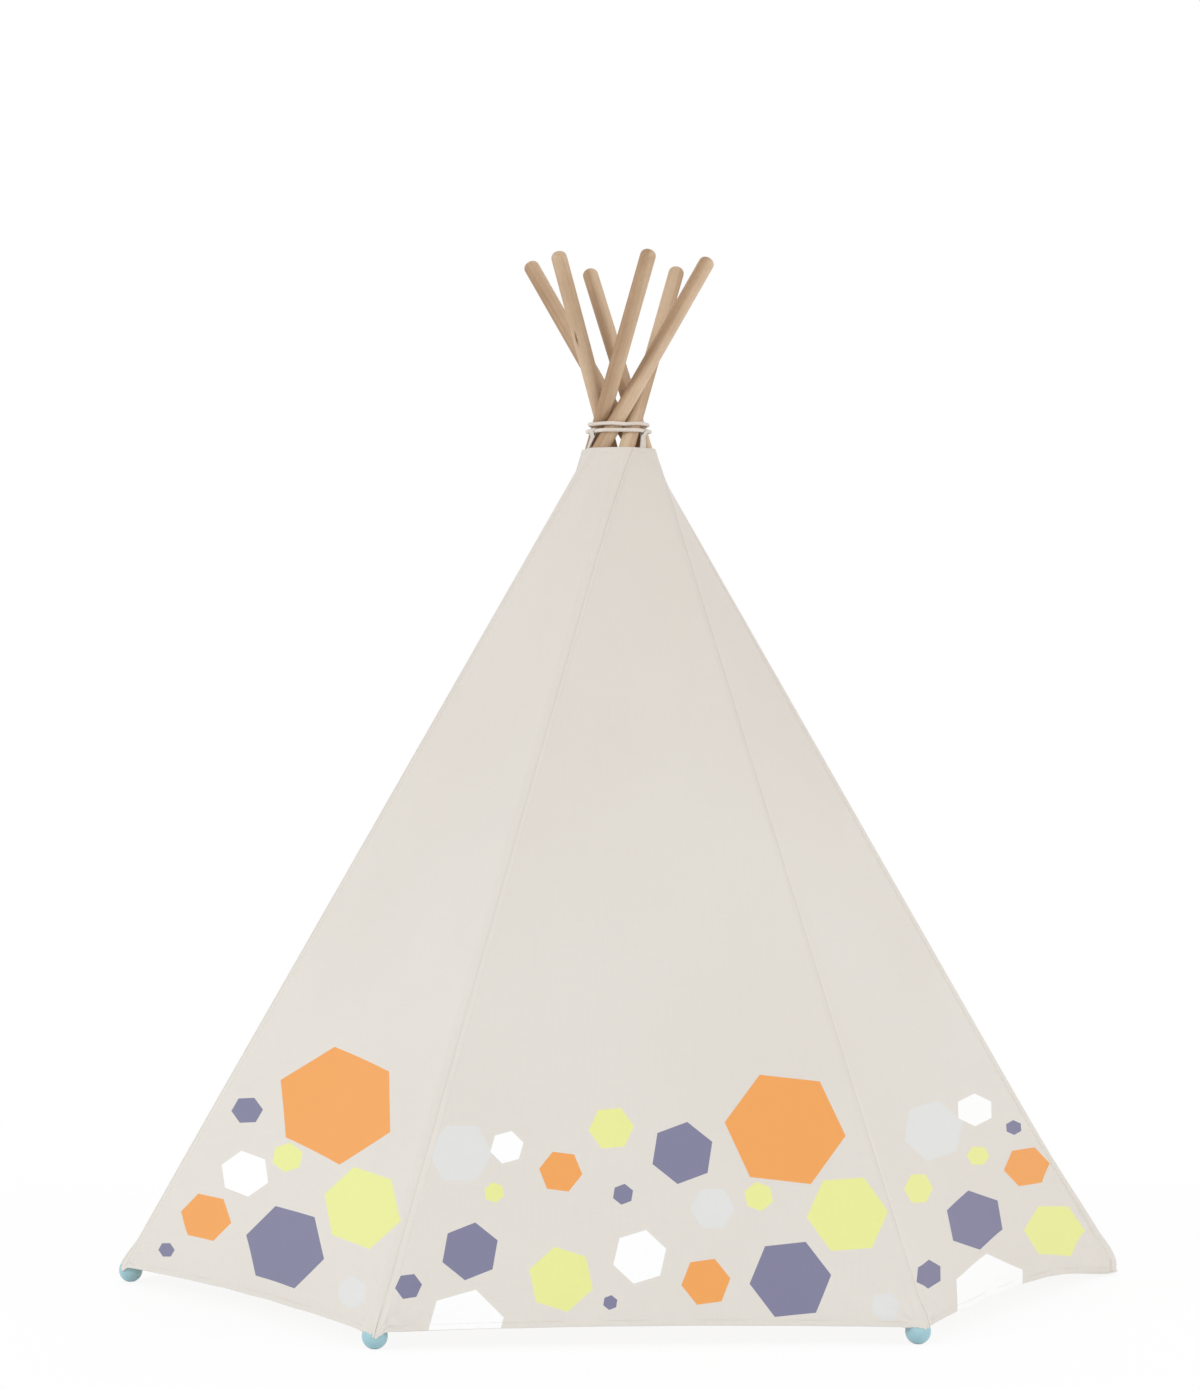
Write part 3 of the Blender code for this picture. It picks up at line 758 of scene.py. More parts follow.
def make_side(name, node_name, side, low, shapes):
    """A side's two halves, each on its own pole, with the stitches of its hem, top and closing seam."""
    flats, faces, kinds = cut_cloth(low, COVER_TOP, shapes)
    place = side_place(side)
    over = side_place(side, CANVAS + ON_CLOTH)
    for at_far, label in ((0, "near"), (1, "far")):
        places, some_faces, some_kinds = picked(flats, faces, kinds, 1 if at_far else -1)
        points = [place(*flat) for flat in places]
        normals = [normal_of(place, *flat) for flat in places]
        rows = []
        for height in (low + HEM_STITCH, COVER_TOP - TOP_STITCH):
            end = (at_far - 0.5) * (width(height) - 0.024)
            rows += stitch_row(over, (0.0, height), (end, height))
        if at_far and side == CLOSING_SIDE:
            rows += seam_rows(over, lambda height: width(height) / 2 - 0.0115, HEM + 0.003, COVER_TOP - 0.004)
        finishes = [canvas, *prints.values(), inside_face, thread]
        thickness = hemmed(low, COVER_TOP)
        piece = sewn(
            f"{name}_{label}", points, normals, places, some_faces, thickness, finishes, some_kinds, rows
        )
        pole = (side + at_far) % CORNERS
        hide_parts(node_name)
        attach(piece, f"pole_{pole + 1}")
        axis, anchor = fold_axis(side, at_far)
        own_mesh(piece)
        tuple(axis)
        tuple(anchor)
        long = (COVER_TOP - low) / cos(WALL_LEAN)
        round_tunnel = ARC * at_far
        area = half_flat(low, COVER_TOP) + round_tunnel * long
        width(low) / 2 + round_tunnel


DOOR_TOP = 1.000
PULL_BACK = ((1.2, 0), (0, 1))
SIDES = [
    (0, "wall_panel_1", "side_right_back", shapes_of("left", PULL_BACK, True)),
    (2, "wall_panel_3", "side_left_back", shapes_of("right", PULL_BACK, True)),
    (3, "wall_panel_4", "side_left_front", shapes_of("left", ((1.750, -0.756), (0.196, 0.916)))),
    (4, "wall_panel_5", "side_front", shapes_of("middle", ((0.957, 0.012), (-0.008, 1.0)))),
    (5, "wall_panel_6", "side_right_front", shapes_of("right", ((2.268, 1.004), (-0.270, 0.881)))),
]
for side, node_name, name, shapes in SIDES:
    make_side(name, node_name, side, HEM, shapes)
make_side("head", "door_head", DOORWAY, DOOR_TOP, [])


# Corner seams and tunnels
# Along each pole, one side's cloth runs on round the tunnel, and a pressed strip sews it to the next side.
# The tunnel is a tube of the same canvas, wider over the ball foot.

# Places across the strip, and how far it stands off the cloth there.
STRIP_RISE = [(0, 0.0001), (0.10, 0.0003), (0.5, 0.0005), (0.9, 0.0004), (1, 0.0002)]
STRIP_SPOTS = [0, 0.04, 0.08, 0.2, 0.35, 0.5, 0.65, 0.8, 0.9, 0.96, 1.0]
STRIP_SEAM = 0.13
STRIP_ENDS = (0.0, 1.0)
AROUND = 28
TUNNEL_TOP = 0.022
LOW_TUNNEL = 0.004
TUNNEL_RINGS = [0, 0.004, 0.02, 0.1, 0.3, 0.5, 0.7, 0.84, 0.92, 0.955, 0.965, 0.975, 0.985, 0.993, 1.0]
pressed = cloth_material("canvas_pressed", (233, 228, 220), (228, 221, 213), 0.05, THREADS, 0.5)


def between(pairs, at):
    """The value at a place, straight between the given pairs."""
    for (x0, y0), (x1, y1) in zip(pairs, pairs[1:]):
        if at <= x1:
            return y0 + (y1 - y0) * max(0, at - x0) / (x1 - x0)
    return pairs[-1][1]


def strip_place(side, out=0.0):
    """The strip's face: across runs from 0 at the tunnel to 1 on the side's cloth."""

    def place(across, height):
        wide = width(height)
        near = -0.0002 + (0.0042 + 0.0072 * (1 - part_up(height))) * across
        lower = height - droop(side, near, wide - near, height)
        pucker = 0.00015 * noise.noise(Vector((across * 2, height * 70, side)))
        off = CANVAS + out + between(STRIP_RISE, across)
        off += creases(side, near / wide, height) + pucker * sin(pi * across)
        seat = hung_from(lower)
        off -= 0.1 * (seat - lower)
        return cover(side, near / wide, seat, off) + Vector((0, 0, lower - seat))

    return place


def grid_faces(rows, columns, closed=False):
    """The four-cornered faces between rows of points, closed round if they are rings."""
    faces = []
    for row in range(rows - 1):
        for column in range(columns if closed else columns - 1):
            after = (column + 1) % columns
            a, b = row * columns + column, row * columns + after
            faces.append((a, b, b + columns, a + columns))
    return faces


def tunnel_rings(pole):
    """The tunnel's points in rings from its top to its level hem, and their places on the flat cloth."""
    own = pole_frame(pole)
    top = -(CROSSING - COVER_TOP + TUNNEL_TOP) / cos(LEAN)
    foot = HEM + 0.0006 if pole != LOW_CORNER else LOW_TUNNEL
    points = []
    flats = []
    for share in TUNNEL_RINGS:
        for step in range(AROUND):
            angle = 2 * pi * step / AROUND
            way = Vector((cos(angle), sin(angle), 0))
            low = -REACH + 0.010
            for _ in range(4):
                radius = TUNNEL + swell_at((own @ (way * TUNNEL + Vector((0, 0, low)))).z)
                low -= ((own @ (way * radius + Vector((0, 0, low)))).z - foot) / cos(LEAN)
            along = top + (low - top) * share
            radius = TUNNEL + swell_by(along + REACH)
            radius -= 0.0002 * (1 + noise.noise(Vector((angle, along * 30, pole))))
            points.append(own @ (way * radius + Vector((0, 0, along))))
            flats.append((radius * angle, along))
    return points, flats


def ring_normals(points):
    """The outward direction at each point of a tube's rings."""
    normals = []
    rows = len(points) // AROUND
    for i in range(len(points)):
        row, column = divmod(i, AROUND)
        after = points[row * AROUND + (column + 1) % AROUND]
        before = points[row * AROUND + (column - 1) % AROUND]
        above = points[max(0, row - 1) * AROUND + column]
        below = points[min(rows - 1, row + 1) * AROUND + column]
        normals.append((after - before).cross(above - below).normalized())
    return normals


for pole in range(CORNERS):
    face = strip_place(pole)
    heights = levels(HEM, COVER_TOP)
    spots = [(across, height) for height in heights for across in STRIP_SPOTS]
    points = [face(*spot) for spot in spots]
    normals = [normal_of(face, *spot, 0.02, STRIP_ENDS) for spot in spots]
    flats = [(0.011 * across, height / cos(LEAN)) for across, height in spots]
    faces = grid_faces(len(heights), len(STRIP_SPOTS))
    kinds = [1 if i % (len(STRIP_SPOTS) - 1) < 1 else 0 for i in range(len(faces))]
    laid = []
    over = strip_place(pole, ON_CLOTH)
    for a, b, _ in seam_rows(over, lambda _: STRIP_SEAM, HEM + 0.003, COVER_TOP - 0.003):
        laid.append((a, b, normal_of(face, STRIP_SEAM, a.z, 0.02, STRIP_ENDS)))
    band = sewn(f"corner_{pole + 1}", points, normals, flats, faces, 0.0004, [pressed, thread], kinds, laid)
    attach(band, f"pole_{pole + 1}")

    points, flats = tunnel_rings(pole)
    faces = [tuple(reversed(face)) for face in grid_faces(len(TUNNEL_RINGS), AROUND, True)]
    tube = sewn(f"sleeve_{pole + 1}", points, ring_normals(points), flats, faces, 0.0009, [canvas, thread])
    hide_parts(f"pole_{pole + 1}_sleeve")
    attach(tube, f"pole_{pole + 1}")


# Door flaps and their ties
# The flaps hang closed over the doorway, sewn along the two poles, with soft waves at the hem.
# A tape beside each, sewn to the next side, ties it back.

FLAP_TOP = 1.025
FLAP_COLUMNS = 48
FLAP_OPEN_HEM = 0.040
FLAP_OPEN_TOP = 0.006
FLAP_WAVE = 0.009
FLAP_WAVES = 2.5
FLAP_SEAMS = [
    ((0.03, HEM + 0.011), (0.985, HEM + 0.011)),
    ((0.97, HEM + 0.012), (0.96, FLAP_TOP - 0.010)),
    ((0.03, FLAP_TOP - 0.009), (0.95, FLAP_TOP - 0.009)),
]


def flap_place(right, out=0.0):
    """A flap's visible face, from the share of the way from its seam and the height."""

    def place(from_seam, height):
        up = (height - HEM) / (FLAP_TOP - HEM)
        gap = FLAP_OPEN_HEM + (FLAP_OPEN_TOP - FLAP_OPEN_HEM) * up
        free = 0.5 - gap / 2 / width(height)
        share = free * from_seam if right else 1 - free * from_seam
        wave = FLAP_WAVE * (1 - up) * from_seam * sin(2 * pi * FLAP_WAVES * from_seam)
        fine = 0.0012 * noise.noise(Vector((from_seam * 5 + right * 3, height * 2.5, 0.7)))
        fine *= from_seam * max(0, 1 - up) ** 0.5
        return cover(DOORWAY, share, height, 2 * CANVAS + 0.0005 + wave + fine + out)

    return place


for right, label in ((True, "right"), (False, "left")):
    face = flap_place(right)
    sign = 1 if right else -1
    heights = levels(HEM, FLAP_TOP)
    shares = [column / FLAP_COLUMNS for column in range(FLAP_COLUMNS + 1)][::sign]
    spots = [(across, height) for height in heights for across in shares]
    points = [face(*spot) for spot in spots]
    normals = [normal_of(face, *spot, 0.004, (0, 1)) * sign for spot in spots]
    flats = [(across * width(height) / 2, height) for across, height in spots]
    faces = grid_faces(len(heights), len(shares))
    laid = []
    for start, end in FLAP_SEAMS:
        laid += [(a, b, out * sign) for a, b, out in stitch_row(flap_place(right, ON_CLOTH), start, end)]
    finishes = [canvas, thread]
    piece = sewn(f"flap_{label}", points, normals, flats, faces, 0.0012, finishes, stitches=laid)
    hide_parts(f"door_flap_{label}")
    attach(piece, f"flap_{label}")
    axis, anchor = fold_axis(DOORWAY, 0 if right else 1)
    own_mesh(piece)
    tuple(axis)
    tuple(anchor)
    area = sum((width(h0) + width(h1)) / 4 * (h1 - h0) for h0, h1 in zip(heights, heights[1:]))
    area /= cos(WALL_LEAN)

# Below the head, the doorway's left edge is the cloth that runs on round its tunnel.
jamb = side_place(DOORWAY)
heights = levels(HEM, DOOR_TOP)
columns = [x for x in range(len(row_of(0.5))) if row_of(0.5)[x] > width(0.5) / 2 - 0.008]
flats = [(row_of(height)[column], height) for height in heights for column in columns]
points = [jamb(*flat) for flat in flats]
normals = [normal_of(jamb, *flat) for flat in flats]
faces = grid_faces(len(heights), len(columns))
jamb_piece = sewn("door_edge", points, normals, flats, faces, CLOTH, [canvas, thread])
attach(jamb_piece, "pole_3")


def swept(name, places, flats, around, finish):
    """A tape or rope from rings of points and their flat places, with its two ends closed."""
    last = len(places) - around
    faces = grid_faces(len(places) // around, around, True)
    faces += [tuple(reversed(range(around))), tuple(range(last, last + around))]
    mesh = bpy.data.meshes.new(name)
    mesh.from_pydata(places, [], faces)
    layer = mesh.uv_layers.new(name="flat")
    for loop in mesh.loops:
        layer.data[loop.index].uv = flats[loop.vertex_index]
    mesh.shade_smooth()
    return linked(name, mesh, [finish])


def ahead_at(route, i):
    """The direction of a route at its point i."""
    return (route[min(len(route) - 1, i + 1)] - route[max(0, i - 1)]).normalized()


TAPE_RING = [(cos(pi / 4 * i), sin(pi / 4 * i)) for i in range(8)]
TAPE_EDGE = 0.97


def ribbon(name, centres, sides, wide, thick, finish):
    """A woven tape through the centres, flat across the sides, with rounded selvedges."""
    ring = []
    for x, y in TAPE_RING:
        selvedge = 0 if abs(x) < 0.3 else 1 if x > 0 else -1
        ring.append((0.5 * wide * selvedge * (TAPE_EDGE if abs(y) > 0.5 else 1), 0.5 * thick * y))
    places = []
    flats = []
    along = 0.0
    for i, (centre, side) in enumerate(zip(centres, sides)):
        out = ahead_at(centres, i).cross(side).normalized()
        if i:
            along += (centre - centres[i - 1]).length
        for x, y in ring:
            places.append(centre + side * x + out * y)
            flats.append((x, along))
    made = swept(name, places, flats, len(ring), finish)
    made.data.set_sharp_from_angle(angle=radians(50))
    return made


TIE_TOP = 0.560
TIE_LENGTH = 0.240
TIE_INSET = 0.022
TIE_STEPS = 24
for right, label, side, pole in ((True, "right", 0, 1), (False, "left", 2, 2)):
    centres = []
    sides = []
    for step in range(TIE_STEPS + 1):
        height = TIE_TOP - TIE_LENGTH * cos(WALL_LEAN) * step / TIE_STEPS
        share = TIE_INSET / width(height)
        share = 1 - share if right else share
        sway = Vector((0.0008 * sin(step * 0.7), 0, 0))
        lift = 0.0004 + 0.0010 * (step / TIE_STEPS) ** 2
        centres.append(cover(side, share, height, CANVAS + creases(side, share, height) + FIT + lift) + sway)
        sides.append((cover(side, 1, height) - cover(side, 0, height)).normalized())
    tie = ribbon(f"tie_{label}", centres, sides, 0.014, 0.0006, tape)
    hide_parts(f"door_tie_{label}")
    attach(tie, f"pole_{pole + 1}")


# Poles
# Turned pine: a rounded tip, fine grain along each pole, and a spigot at the joint in the tunnel.
# The grain is a node group: rings and bands, fibres, a painted shade on one side and one knot.

grain, given, leave = group(
    "wood_grain",
    {"Place": "Vector", "Seed": "Float", "Painted Shade Side": "Vector", "Knot Place": "Vector"},
    {"Tone And Shade": "Float", "Fibre": "Float", "Knot": "Float"},
)
offset = node(grain, "CombineXYZ", {"X": given["Seed"], "Y": 0.37, "Z": given["Seed"]})
moved = vectors(grain, "ADD", given["Place"], offset)
waves = {"Scale": 45.0, "Distortion": 9.0, "Detail": 3.0, "Detail Scale": 0.5}
waves["Vector"] = stretched(grain, moved, (1, 1, 0.03))
rings = node(grain, "TexWave", waves, wave_type="RINGS", rings_direction="Y").outputs["Fac"]
bands = mottled(grain, stretched(grain, moved, (95, 95, 3.0)), 1.0, 5.0, Roughness=0.6, Distortion=0.6)
blotch = mottled(grain, moved, 9.0, 2.0)
flat_place = vectors(grain, "MULTIPLY", given["Place"], (1, 1, 0))
# Painted shade: the colour darkens on the side of the pole that faces the given way.
facing = vectors(grain, "DOT_PRODUCT", vectors(grain, "NORMALIZE", flat_place), given["Painted Shade Side"])
tone_and_shade = spread(grain, facing.outputs["Value"], 0.0, 0.42, -0.5, 1.0, smooth=True)
for part, weight in ((rings, 0.07), (bands, 0.46), (blotch, 0.50)):
    tone_and_shade = math(grain, "ADD", tone_and_shade, math(grain, "MULTIPLY", part, weight))
fibres = mottled(grain, stretched(grain, moved, (900, 900, 110)), 1.0, 3.0)
from_knot = vectors(grain, "SUBTRACT", given["Place"], given["Knot Place"])
knot_size = vectors(grain, "LENGTH", vectors(grain, "MULTIPLY", from_knot, (430, 430, 70)))
ragged = math(grain, "ADD", knot_size.outputs["Value"], math(grain, "MULTIPLY", fibres, 1.2))
feed(grain, leave, {"Tone And Shade": tone_and_shade, "Fibre": fibres, "Knot": spread(grain, ragged, 1.0, 0.0, 0.9, 1.7)})
POLE_RADIUS = 0.0125
# Painted shade: each pole's colour is darkened on the side that faces this way, by its own amount below.
PAINTED_SHADE_WAY = Vector((-0.98, -0.2, 0.0))
# For each pole: how dark the painted shade on its one side is, its tone, and its knot's height over the
# crossing and its facing.
PAINTED_SHADE_SIDES = [0.5, 0.0, 0.6, 1.0, -0.6, 1.0]
TONES = [0.0, 0.0, 0.08, -0.02, -0.05, 0.02]
KNOTS = [-0.30, 0.146, 0.21, 0.10, 0.19, 0.05]
KNOT_WAYS = [Vector((-0.55, -0.83, 0.0)) if pole == 1 else Vector((0.5, 0.9, 0.0)) for pole in range(CORNERS)]


def wood_material(pole):
    """One pole's pine: its own stretch of the grain, its tone, a painted shade on one side and its knot."""
    made, tree, shader = new_material(f"pine_{pole + 1}", {"Specular IOR Level": 0.35})
    back = pole_frame(pole).inverted()
    place = node(tree, "TexCoord", {}).outputs["Object"]
    own = node(tree, "Mapping", {"Vector": place, "Location": back.translation, "Rotation": back.to_euler()})
    shade_way = back.to_3x3() @ PAINTED_SHADE_WAY
    knot = back.to_3x3() @ KNOT_WAYS[pole]
    inputs = {
        "Place": own,
        "Seed": 1.7 * pole + 0.3,
        "Painted Shade Side": Vector((shade_way.x, shade_way.y, 0)).normalized() * PAINTED_SHADE_SIDES[pole],
        "Knot Place": (*(Vector((knot.x, knot.y)).normalized() * POLE_RADIUS), KNOTS[pole]),
    }
    used = node(tree, "Group", inputs, node_tree=grain).outputs
    ramp = node(tree, "ValToRGB", {"Fac": math(tree, "ADD", used["Tone And Shade"], TONES[pole])})
    steps = ramp.color_ramp.elements
    steps[0].position = 0.30
    steps[0].color = linear((214, 190, 162))
    steps[1].position = 0.90
    steps[1].color = linear((168, 137, 107))
    steps.new(0.58).color = linear((199, 172, 143))
    streaked = times(tree, ramp, spread(tree, used["Fibre"], 0.93, 1.09, 0.3, 0.7))
    knotted = blended(tree, math(tree, "MULTIPLY", used["Knot"], 0.9), streaked, linear((112, 78, 52)))
    rough = spread(tree, used["Tone And Shade"], 0.5, 0.68)
    looks = {"Base Color": knotted, "Roughness": rough, "Normal": relief(tree, used["Fibre"], 0.25)}
    feed(tree, shader, looks)
    return made


def lathe(name, profile, around, matrix, materials, wobble=0.0, seed=0):
    """A turned piece from radius and height pairs, slightly out of round by the wobble."""
    places = []
    faces = []
    rows = []
    for radius, height in profile:
        if radius < 1e-7:
            rows.append([len(places)])
            places.append(Vector((0, 0, height)))
            continue
        row = []
        for step in range(around):
            angle = 2 * pi * step / around
            swell = 1 + wobble * noise.noise(Vector((cos(angle) * 1.5, sin(angle) * 1.5 + seed, height * 7)))
            row.append(len(places))
            places.append(Vector((radius * swell * cos(angle), radius * swell * sin(angle), height)))
        rows.append(row)
    for upper, lower in zip(rows, rows[1:]):
        for step in range(around):
            after = (step + 1) % around
            a, b = upper[step % len(upper)], upper[after % len(upper)]
            c, d = lower[after % len(lower)], lower[step % len(lower)]
            faces.append(tuple(dict.fromkeys((a, d, c, b))))
    mesh = bpy.data.meshes.new(name)
    mesh.from_pydata(places, [], faces)
    mesh.transform(matrix)
    mesh.shade_smooth()
    mesh.set_sharp_from_angle(angle=radians(40))
    return linked(name, mesh, materials)


POLE_LOW = -REACH - 0.0035
POLE_TIP = POLE_LOW + 1.850
JOINT = POLE_LOW + 0.930
SOCKET = 0.040
SPIGOT = POLE_RADIUS - 0.0008 - FIT
TIP_ROUND = 0.0105
for pole in range(CORNERS):
    pine = wood_material(pole)
    dome = []
    for angle in (radians(a) for a in range(0, 91, 10)):
        dome.append((POLE_RADIUS * sin(angle) ** 0.9, POLE_TIP - TIP_ROUND * (1 - cos(angle))))
    start = POLE_TIP - TIP_ROUND
    shoulder = JOINT + SOCKET + FIT
    shaft = [(POLE_RADIUS, start - i * (start - shoulder) / 16) for i in range(1, 17)]
    end = [(SPIGOT, shoulder), (SPIGOT, JOINT + FIT / 2), (0, JOINT + FIT / 2)]
    upper = lathe(f"pole_{pole + 1}_wood_top", dome + shaft + end, 32, pole_frame(pole), [pine], 0.012, pole)
    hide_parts(f"pole_{pole + 1}_upper")
    shoulder = JOINT - SOCKET - FIT
    shaft = [(POLE_RADIUS, shoulder + i * (POLE_LOW - shoulder) / 14) for i in range(15)]
    spigot = [(0, JOINT - FIT / 2), (SPIGOT, JOINT - FIT / 2), (SPIGOT, shoulder)]
    profile = spigot + shaft + [(0, POLE_LOW)]
    lower = lathe(f"pole_{pole + 1}_wood_low", profile, 32, pole_frame(pole), [pine], 0.008, pole + 20)
    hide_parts(f"pole_{pole + 1}_lower")
    for piece in (upper, lower):
        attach(piece, f"pole_{pole + 1}")


# Joint tubes
# Steel tubes inside the tunnels keep their CAD shape and get a drawn, lightly scratched finish.

steel, tree, shader = new_material("joint_steel", {"Base Color": (0.62, 0.62, 0.61, 1), "Metallic": 1.0})
place = stretched(tree, node(tree, "TexCoord", {}).outputs["Object"], (600, 600, 40))
feed(tree, shader, {"Roughness": spread(tree, mottled(tree, place, 1.0, 3.0), 0.25, 0.45)})
for pole in range(CORNERS):
    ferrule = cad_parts[f"pole_{pole + 1}_ferrule"]
    ferrule.data.materials.clear()
    ferrule.data.materials.append(steel)


# Ball feet
# Painted wooden balls: satin light blue, with faint brush marks and a flat that stands on the floor, with
# painted shade just above it.

BALL = 0.0185
BALL_STEPS = 26
paint, tree, shader = new_material("ball_paint", {"Coat Weight": 0.25, "Coat Roughness": 0.3})
place = node(tree, "TexCoord", {}).outputs["Object"]
brush = mottled(tree, stretched(tree, place, (60, 60, 500)), 1.0, 2.0)
colour = blended(tree, mottled(tree, place, 70.0, 3.0), linear((144, 188, 199)), linear((170, 207, 215)))
# Painted shade: the blue darkens in the last few millimetres above the floor, where the ball meets it.
low = spread(tree, node(tree, "SeparateXYZ", {0: place}).outputs["Z"], 1.0, 0.0, 0.0005, 0.003)
contact_shaded = blended(tree, math(tree, "MULTIPLY", low, 0.75), colour, linear((84, 120, 130)))
rough = spread(tree, brush, 0.34, 0.5)
feed(tree, shader, {"Base Color": contact_shaded, "Roughness": rough, "Normal": relief(tree, brush, 0.15, 0.0004)})
for pole in range(CORNERS):
    bore = POLE_RADIUS + FIT
    seat = POLE_LOW - FIT
    mouth = atan2(sqrt(BALL**2 - bore**2), bore)
    profile = [(0, seat), (bore, seat), (bore, -REACH + BALL * sin(mouth) - 0.0004)]
    for i in range(BALL_STEPS):
        angle = mouth - (mouth + pi / 2) * i / BALL_STEPS
        profile.append((BALL * cos(angle), -REACH + BALL * sin(angle)))
    profile.append((0, -REACH - BALL))
    ball = lathe(f"ball_{pole + 1}", profile, 44, pole_frame(pole), [paint])
    for vertex in ball.data.vertices:
        vertex.co.z = max(0.0, vertex.co.z)
    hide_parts(f"pole_{pole + 1}_foot")
    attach(ball, f"pole_{pole + 1}")


# Lashing
# One twisted cotton rope: two turns round the poles, a half knot behind and two short tails.
# Each turn lies on the outermost pole all the way round, and the upper one sags a little in front.

ROPE = 0.003
ROPE_OUT = 0.0032
ROPE_LAY = 0.015
ROPE_STEP = 0.0012
ROPE_AROUND = 24
LOWER_TURN = 1.347
TURN_PITCH = 0.011
TURN_STEPS = 24
FRONT_SAG = 0.0014
FRONT_BOW = 0.00018
ROPE_OFF = 0.0006
SEAT = POLE_RADIUS + ROPE_OFF + ROPE
LEAD = 1 / 8
KNOT_HEIGHT = LOWER_TURN + TURN_PITCH / 2
KNOT_PITCH = 0.020
KNOT_HALF = 0.75 * KNOT_PITCH
KNOT_STEPS = 18
KNOT_RADIUS = 0.0035
KNOT_OUT = 0.0114
TAIL_LENGTH = 0.075
TAIL_SPREAD = 0.010
TAIL_STEPS = 7


def wrap(angle, height, clearance):
    """The point in a compass direction on a cord pulled round all the poles, and the way it faces."""
    best = None
    for step in range(359):
        facing = angle - pi / 2 + (step + 1) * radians(0.5)
        reach = max(support(pole, height, clearance, facing) for pole in range(CORNERS))
        distance = reach / cos(facing - angle)
        if best is None or distance < best[0]:
            best = (distance, facing)
    return heading(angle) * best[0], heading(best[1])


KNOT_BACK = wrap(pi / 2, KNOT_HEIGHT, SEAT)[0].y


def turn_point(turn):
    """The rope's place at that many turns from the knot's middle."""
    rise = min(1, max(0, (turn - 0.75) / 0.5))
    height = LOWER_TURN + TURN_PITCH * rise * rise * (3 - 2 * rise)
    facing = pi / 2 + 2 * pi * turn
    outermost = max(range(CORNERS), key=lambda pole: support(pole, height, SEAT, facing))
    return Vector((*touch(outermost, height, SEAT, facing), height))


def knot_point(along, phase):
    """A point of the half knot, that far along it: the two strands are half a turn apart in phase."""
    twist = 2 * pi * along / KNOT_PITCH + phase
    out = KNOT_OUT + KNOT_RADIUS * sin(twist)
    return Vector((-along, KNOT_BACK + out, KNOT_HEIGHT - KNOT_RADIUS * cos(twist)))


def tail(side):
    """A loose end that bends down from the knot and lies on the cover."""
    start = knot_point(side * KNOT_HALF, side * pi / 2)
    made = []
    for share in (step / TAIL_STEPS for step in range(1, TAIL_STEPS + 1)):
        along = side * (KNOT_HALF + TAIL_SPREAD * sin(pi / 2 * min(1, 2 * share)))
        height = start.z - TAIL_LENGTH * share**1.5
        on_cover = height < COVER_TOP + ROPE
        lying = TUNNEL + CANVAS + 2 * FIT + ROPE if on_cover else SEAT + KNOT_OUT * 0.8
        point, _ = wrap(atan2(KNOT_BACK + KNOT_OUT, -along), height, lying)
        made.append(Vector((*Vector((-along, start.y)).lerp(point, min(1, 2 * share)), height)))
    return made


def lead(knot_end, turn_end):
    """The rope from the knot to the turns, level at first."""
    made = []
    for share in (0.2, 0.4, 0.6, 0.8):
        point = knot_end.lerp(turn_end, share)
        point.y += KNOT_OUT / 2 * sin(pi * share)
        point.z = knot_end.z + (turn_end.z - knot_end.z) * share**2
        made.append(point)
    return made


wound = [turn_point(LEAD + step / TURN_STEPS) for step in range(round((2 - 2 * LEAD) * TURN_STEPS) + 1)]
front = round((1.5 - LEAD) * TURN_STEPS)
hanging = wound[front].lerp(wound[front + 1], 0.5)
hanging -= Vector((0, FRONT_BOW, FRONT_SAG))
for point in wound[front : front + 2]:
    point.z -= 0.3 * FRONT_SAG
wound.insert(front + 1, hanging)
alongs = [KNOT_HALF * (2 * step / KNOT_STEPS - 1) for step in range(KNOT_STEPS + 1)]
strands = [[knot_point(along, phase) for along in alongs] for phase in (-pi / 2, pi / 2)]
rope_points = tail(-1)[::-1] + strands[0] + lead(strands[0][-1], wound[0]) + wound
rope_points += lead(strands[1][0], wound[-1])[::-1] + strands[1] + tail(1)

plain = {"Roughness": 0.95, "Specular IOR Level": 0.15, "Sheen Weight": 0.15}
cotton, tree, shader = new_material("rope", plain)
places = node(tree, "TexCoord", {}).outputs
lay = {"Vector": places["UV"], "Scale": (900, 9000, 1), "Rotation": (0, 0, 0.5)}
fibres = mottled(tree, node(tree, "Mapping", lay), 0.6, 3.0)
dirt = mottled(tree, places["Object"], 60.0, 2.0)
colour = blended(tree, dirt, linear((212, 200, 189)), linear((232, 223, 213)))
colour = times(tree, colour, spread(tree, fibres, 0.9, 1.04, 0.3, 0.7))
feed(tree, shader, {"Base Color": colour, "Normal": relief(tree, fibres, 0.4)})


def smooth_route(points, step):
    """Points closer together on a curve through the given ones."""
    made = []
    for i in range(len(points) - 1):
        start, end = points[i], points[i + 1]
        scale = (end - start).length
        first = (end - points[max(0, i - 1)]).normalized() * scale
        second = (points[min(len(points) - 1, i + 2)] - start).normalized() * scale
        count = max(1, round(scale / step))
        for t in (j / count for j in range(count)):
            point = (2 * t**3 - 3 * t**2 + 1) * start + (t**3 - 2 * t**2 + t) * first
            made.append(point + (-2 * t**3 + 3 * t**2) * end + (t**3 - t**2) * second)
    made.append(points[-1])
    return made


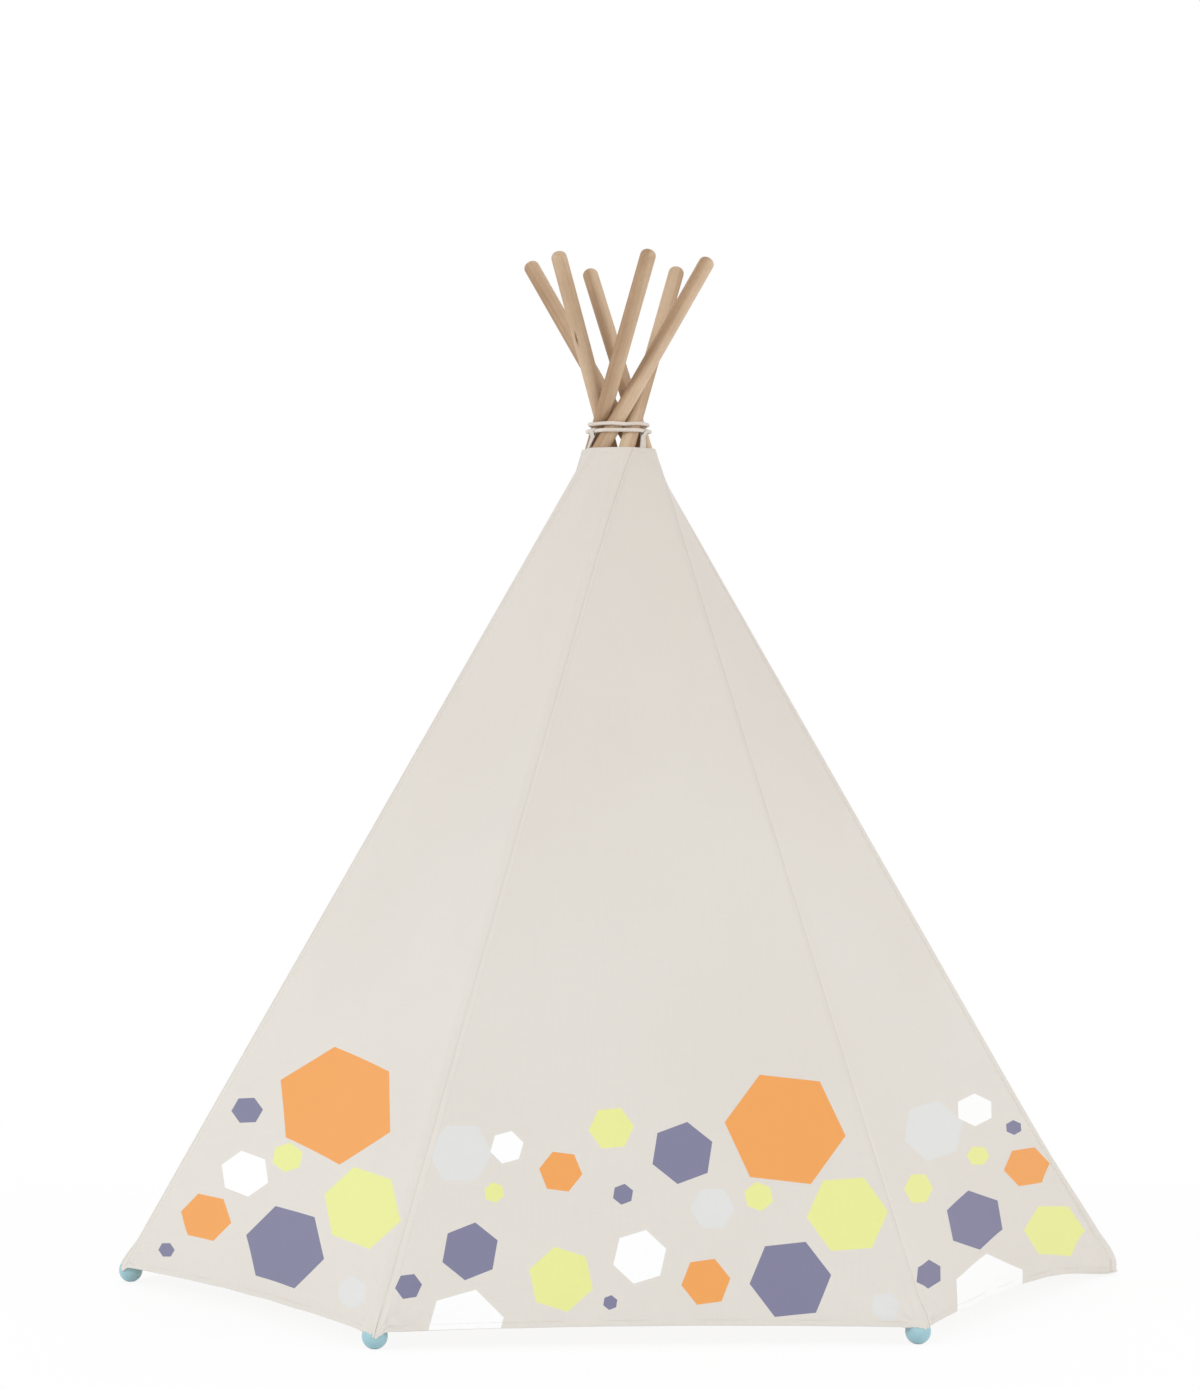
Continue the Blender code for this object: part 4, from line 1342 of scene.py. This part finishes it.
def twisted(name, route, radius, lay, finish):
    """A three-strand rope along the route: each strand turns once in the lay length."""
    places = []
    flats = []
    along = 0.0
    side = (route[1] - route[0]).normalized().orthogonal().normalized()
    for i, point in enumerate(route):
        if i:
            along += (point - route[i - 1]).length
        ahead = ahead_at(route, i)
        side = (side - ahead * side.dot(ahead)).normalized()
        up = ahead.cross(side)
        for step in range(ROPE_AROUND):
            angle = 2 * pi * step / ROPE_AROUND
            lobe = abs(cos(1.5 * (angle - 2 * pi * along / lay)))
            places.append(point + (side * cos(angle) + up * sin(angle)) * radius * (0.80 + 0.20 * lobe))
            flats.append((angle * radius, along))
    return swept(name, places, flats, ROPE_AROUND, finish)


route = smooth_route(rope_points, ROPE_STEP)
rope = twisted("rope", route, ROPE_OUT, ROPE_LAY, cotton)
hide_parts("lashing_rope")
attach(rope, "canopy")


# Hanging loops
# Two tape loops, sewn inside the cover's top edge, hang it on the lower turn of the rope.

LOOP_BEND = 0.00406
LOOP_OFF = 0.0036
LOOP_FOOT = COVER_TOP - 0.018
LOOP_NECK = LOWER_TURN - 0.009

# The tape's way over the rope, as heights and distances off the poles: up, round the turn, and down again.
rise = [LOOP_FOOT + (LOOP_NECK - LOOP_FOOT) * i / 8 for i in range(9)]
bends = [radians(200 - 220 * i / 16) for i in range(17)]
steps = [(height, 0.00055 / cos(WALL_LEAN)) for height in rise]
steps += [(LOWER_TURN + LOOP_BEND * sin(bend), LOOP_OFF + LOOP_BEND * cos(bend)) for bend in bends]
steps += [(height, 0.00135 / cos(WALL_LEAN)) for height in reversed(rise)]
for label, angle, lean in (("left", radians(204.5), radians(-19)), ("right", radians(331), radians(-26))):
    centres = []
    sides = []
    for height, out in steps:
        turn = angle + lean * (LOWER_TURN - height) / (LOWER_TURN - LOOP_FOOT)
        point, facing = wrap(turn, height, POLE_RADIUS)
        centres.append(Vector((*(point + facing * out), height)))
        sides.append(Vector((-facing.y, facing.x, 0)))
    loop = ribbon(f"loop_{label}", centres, sides, 0.0135, 0.0005, tape)
    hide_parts(f"hanging_loop_{label}")
    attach(loop, "canopy")
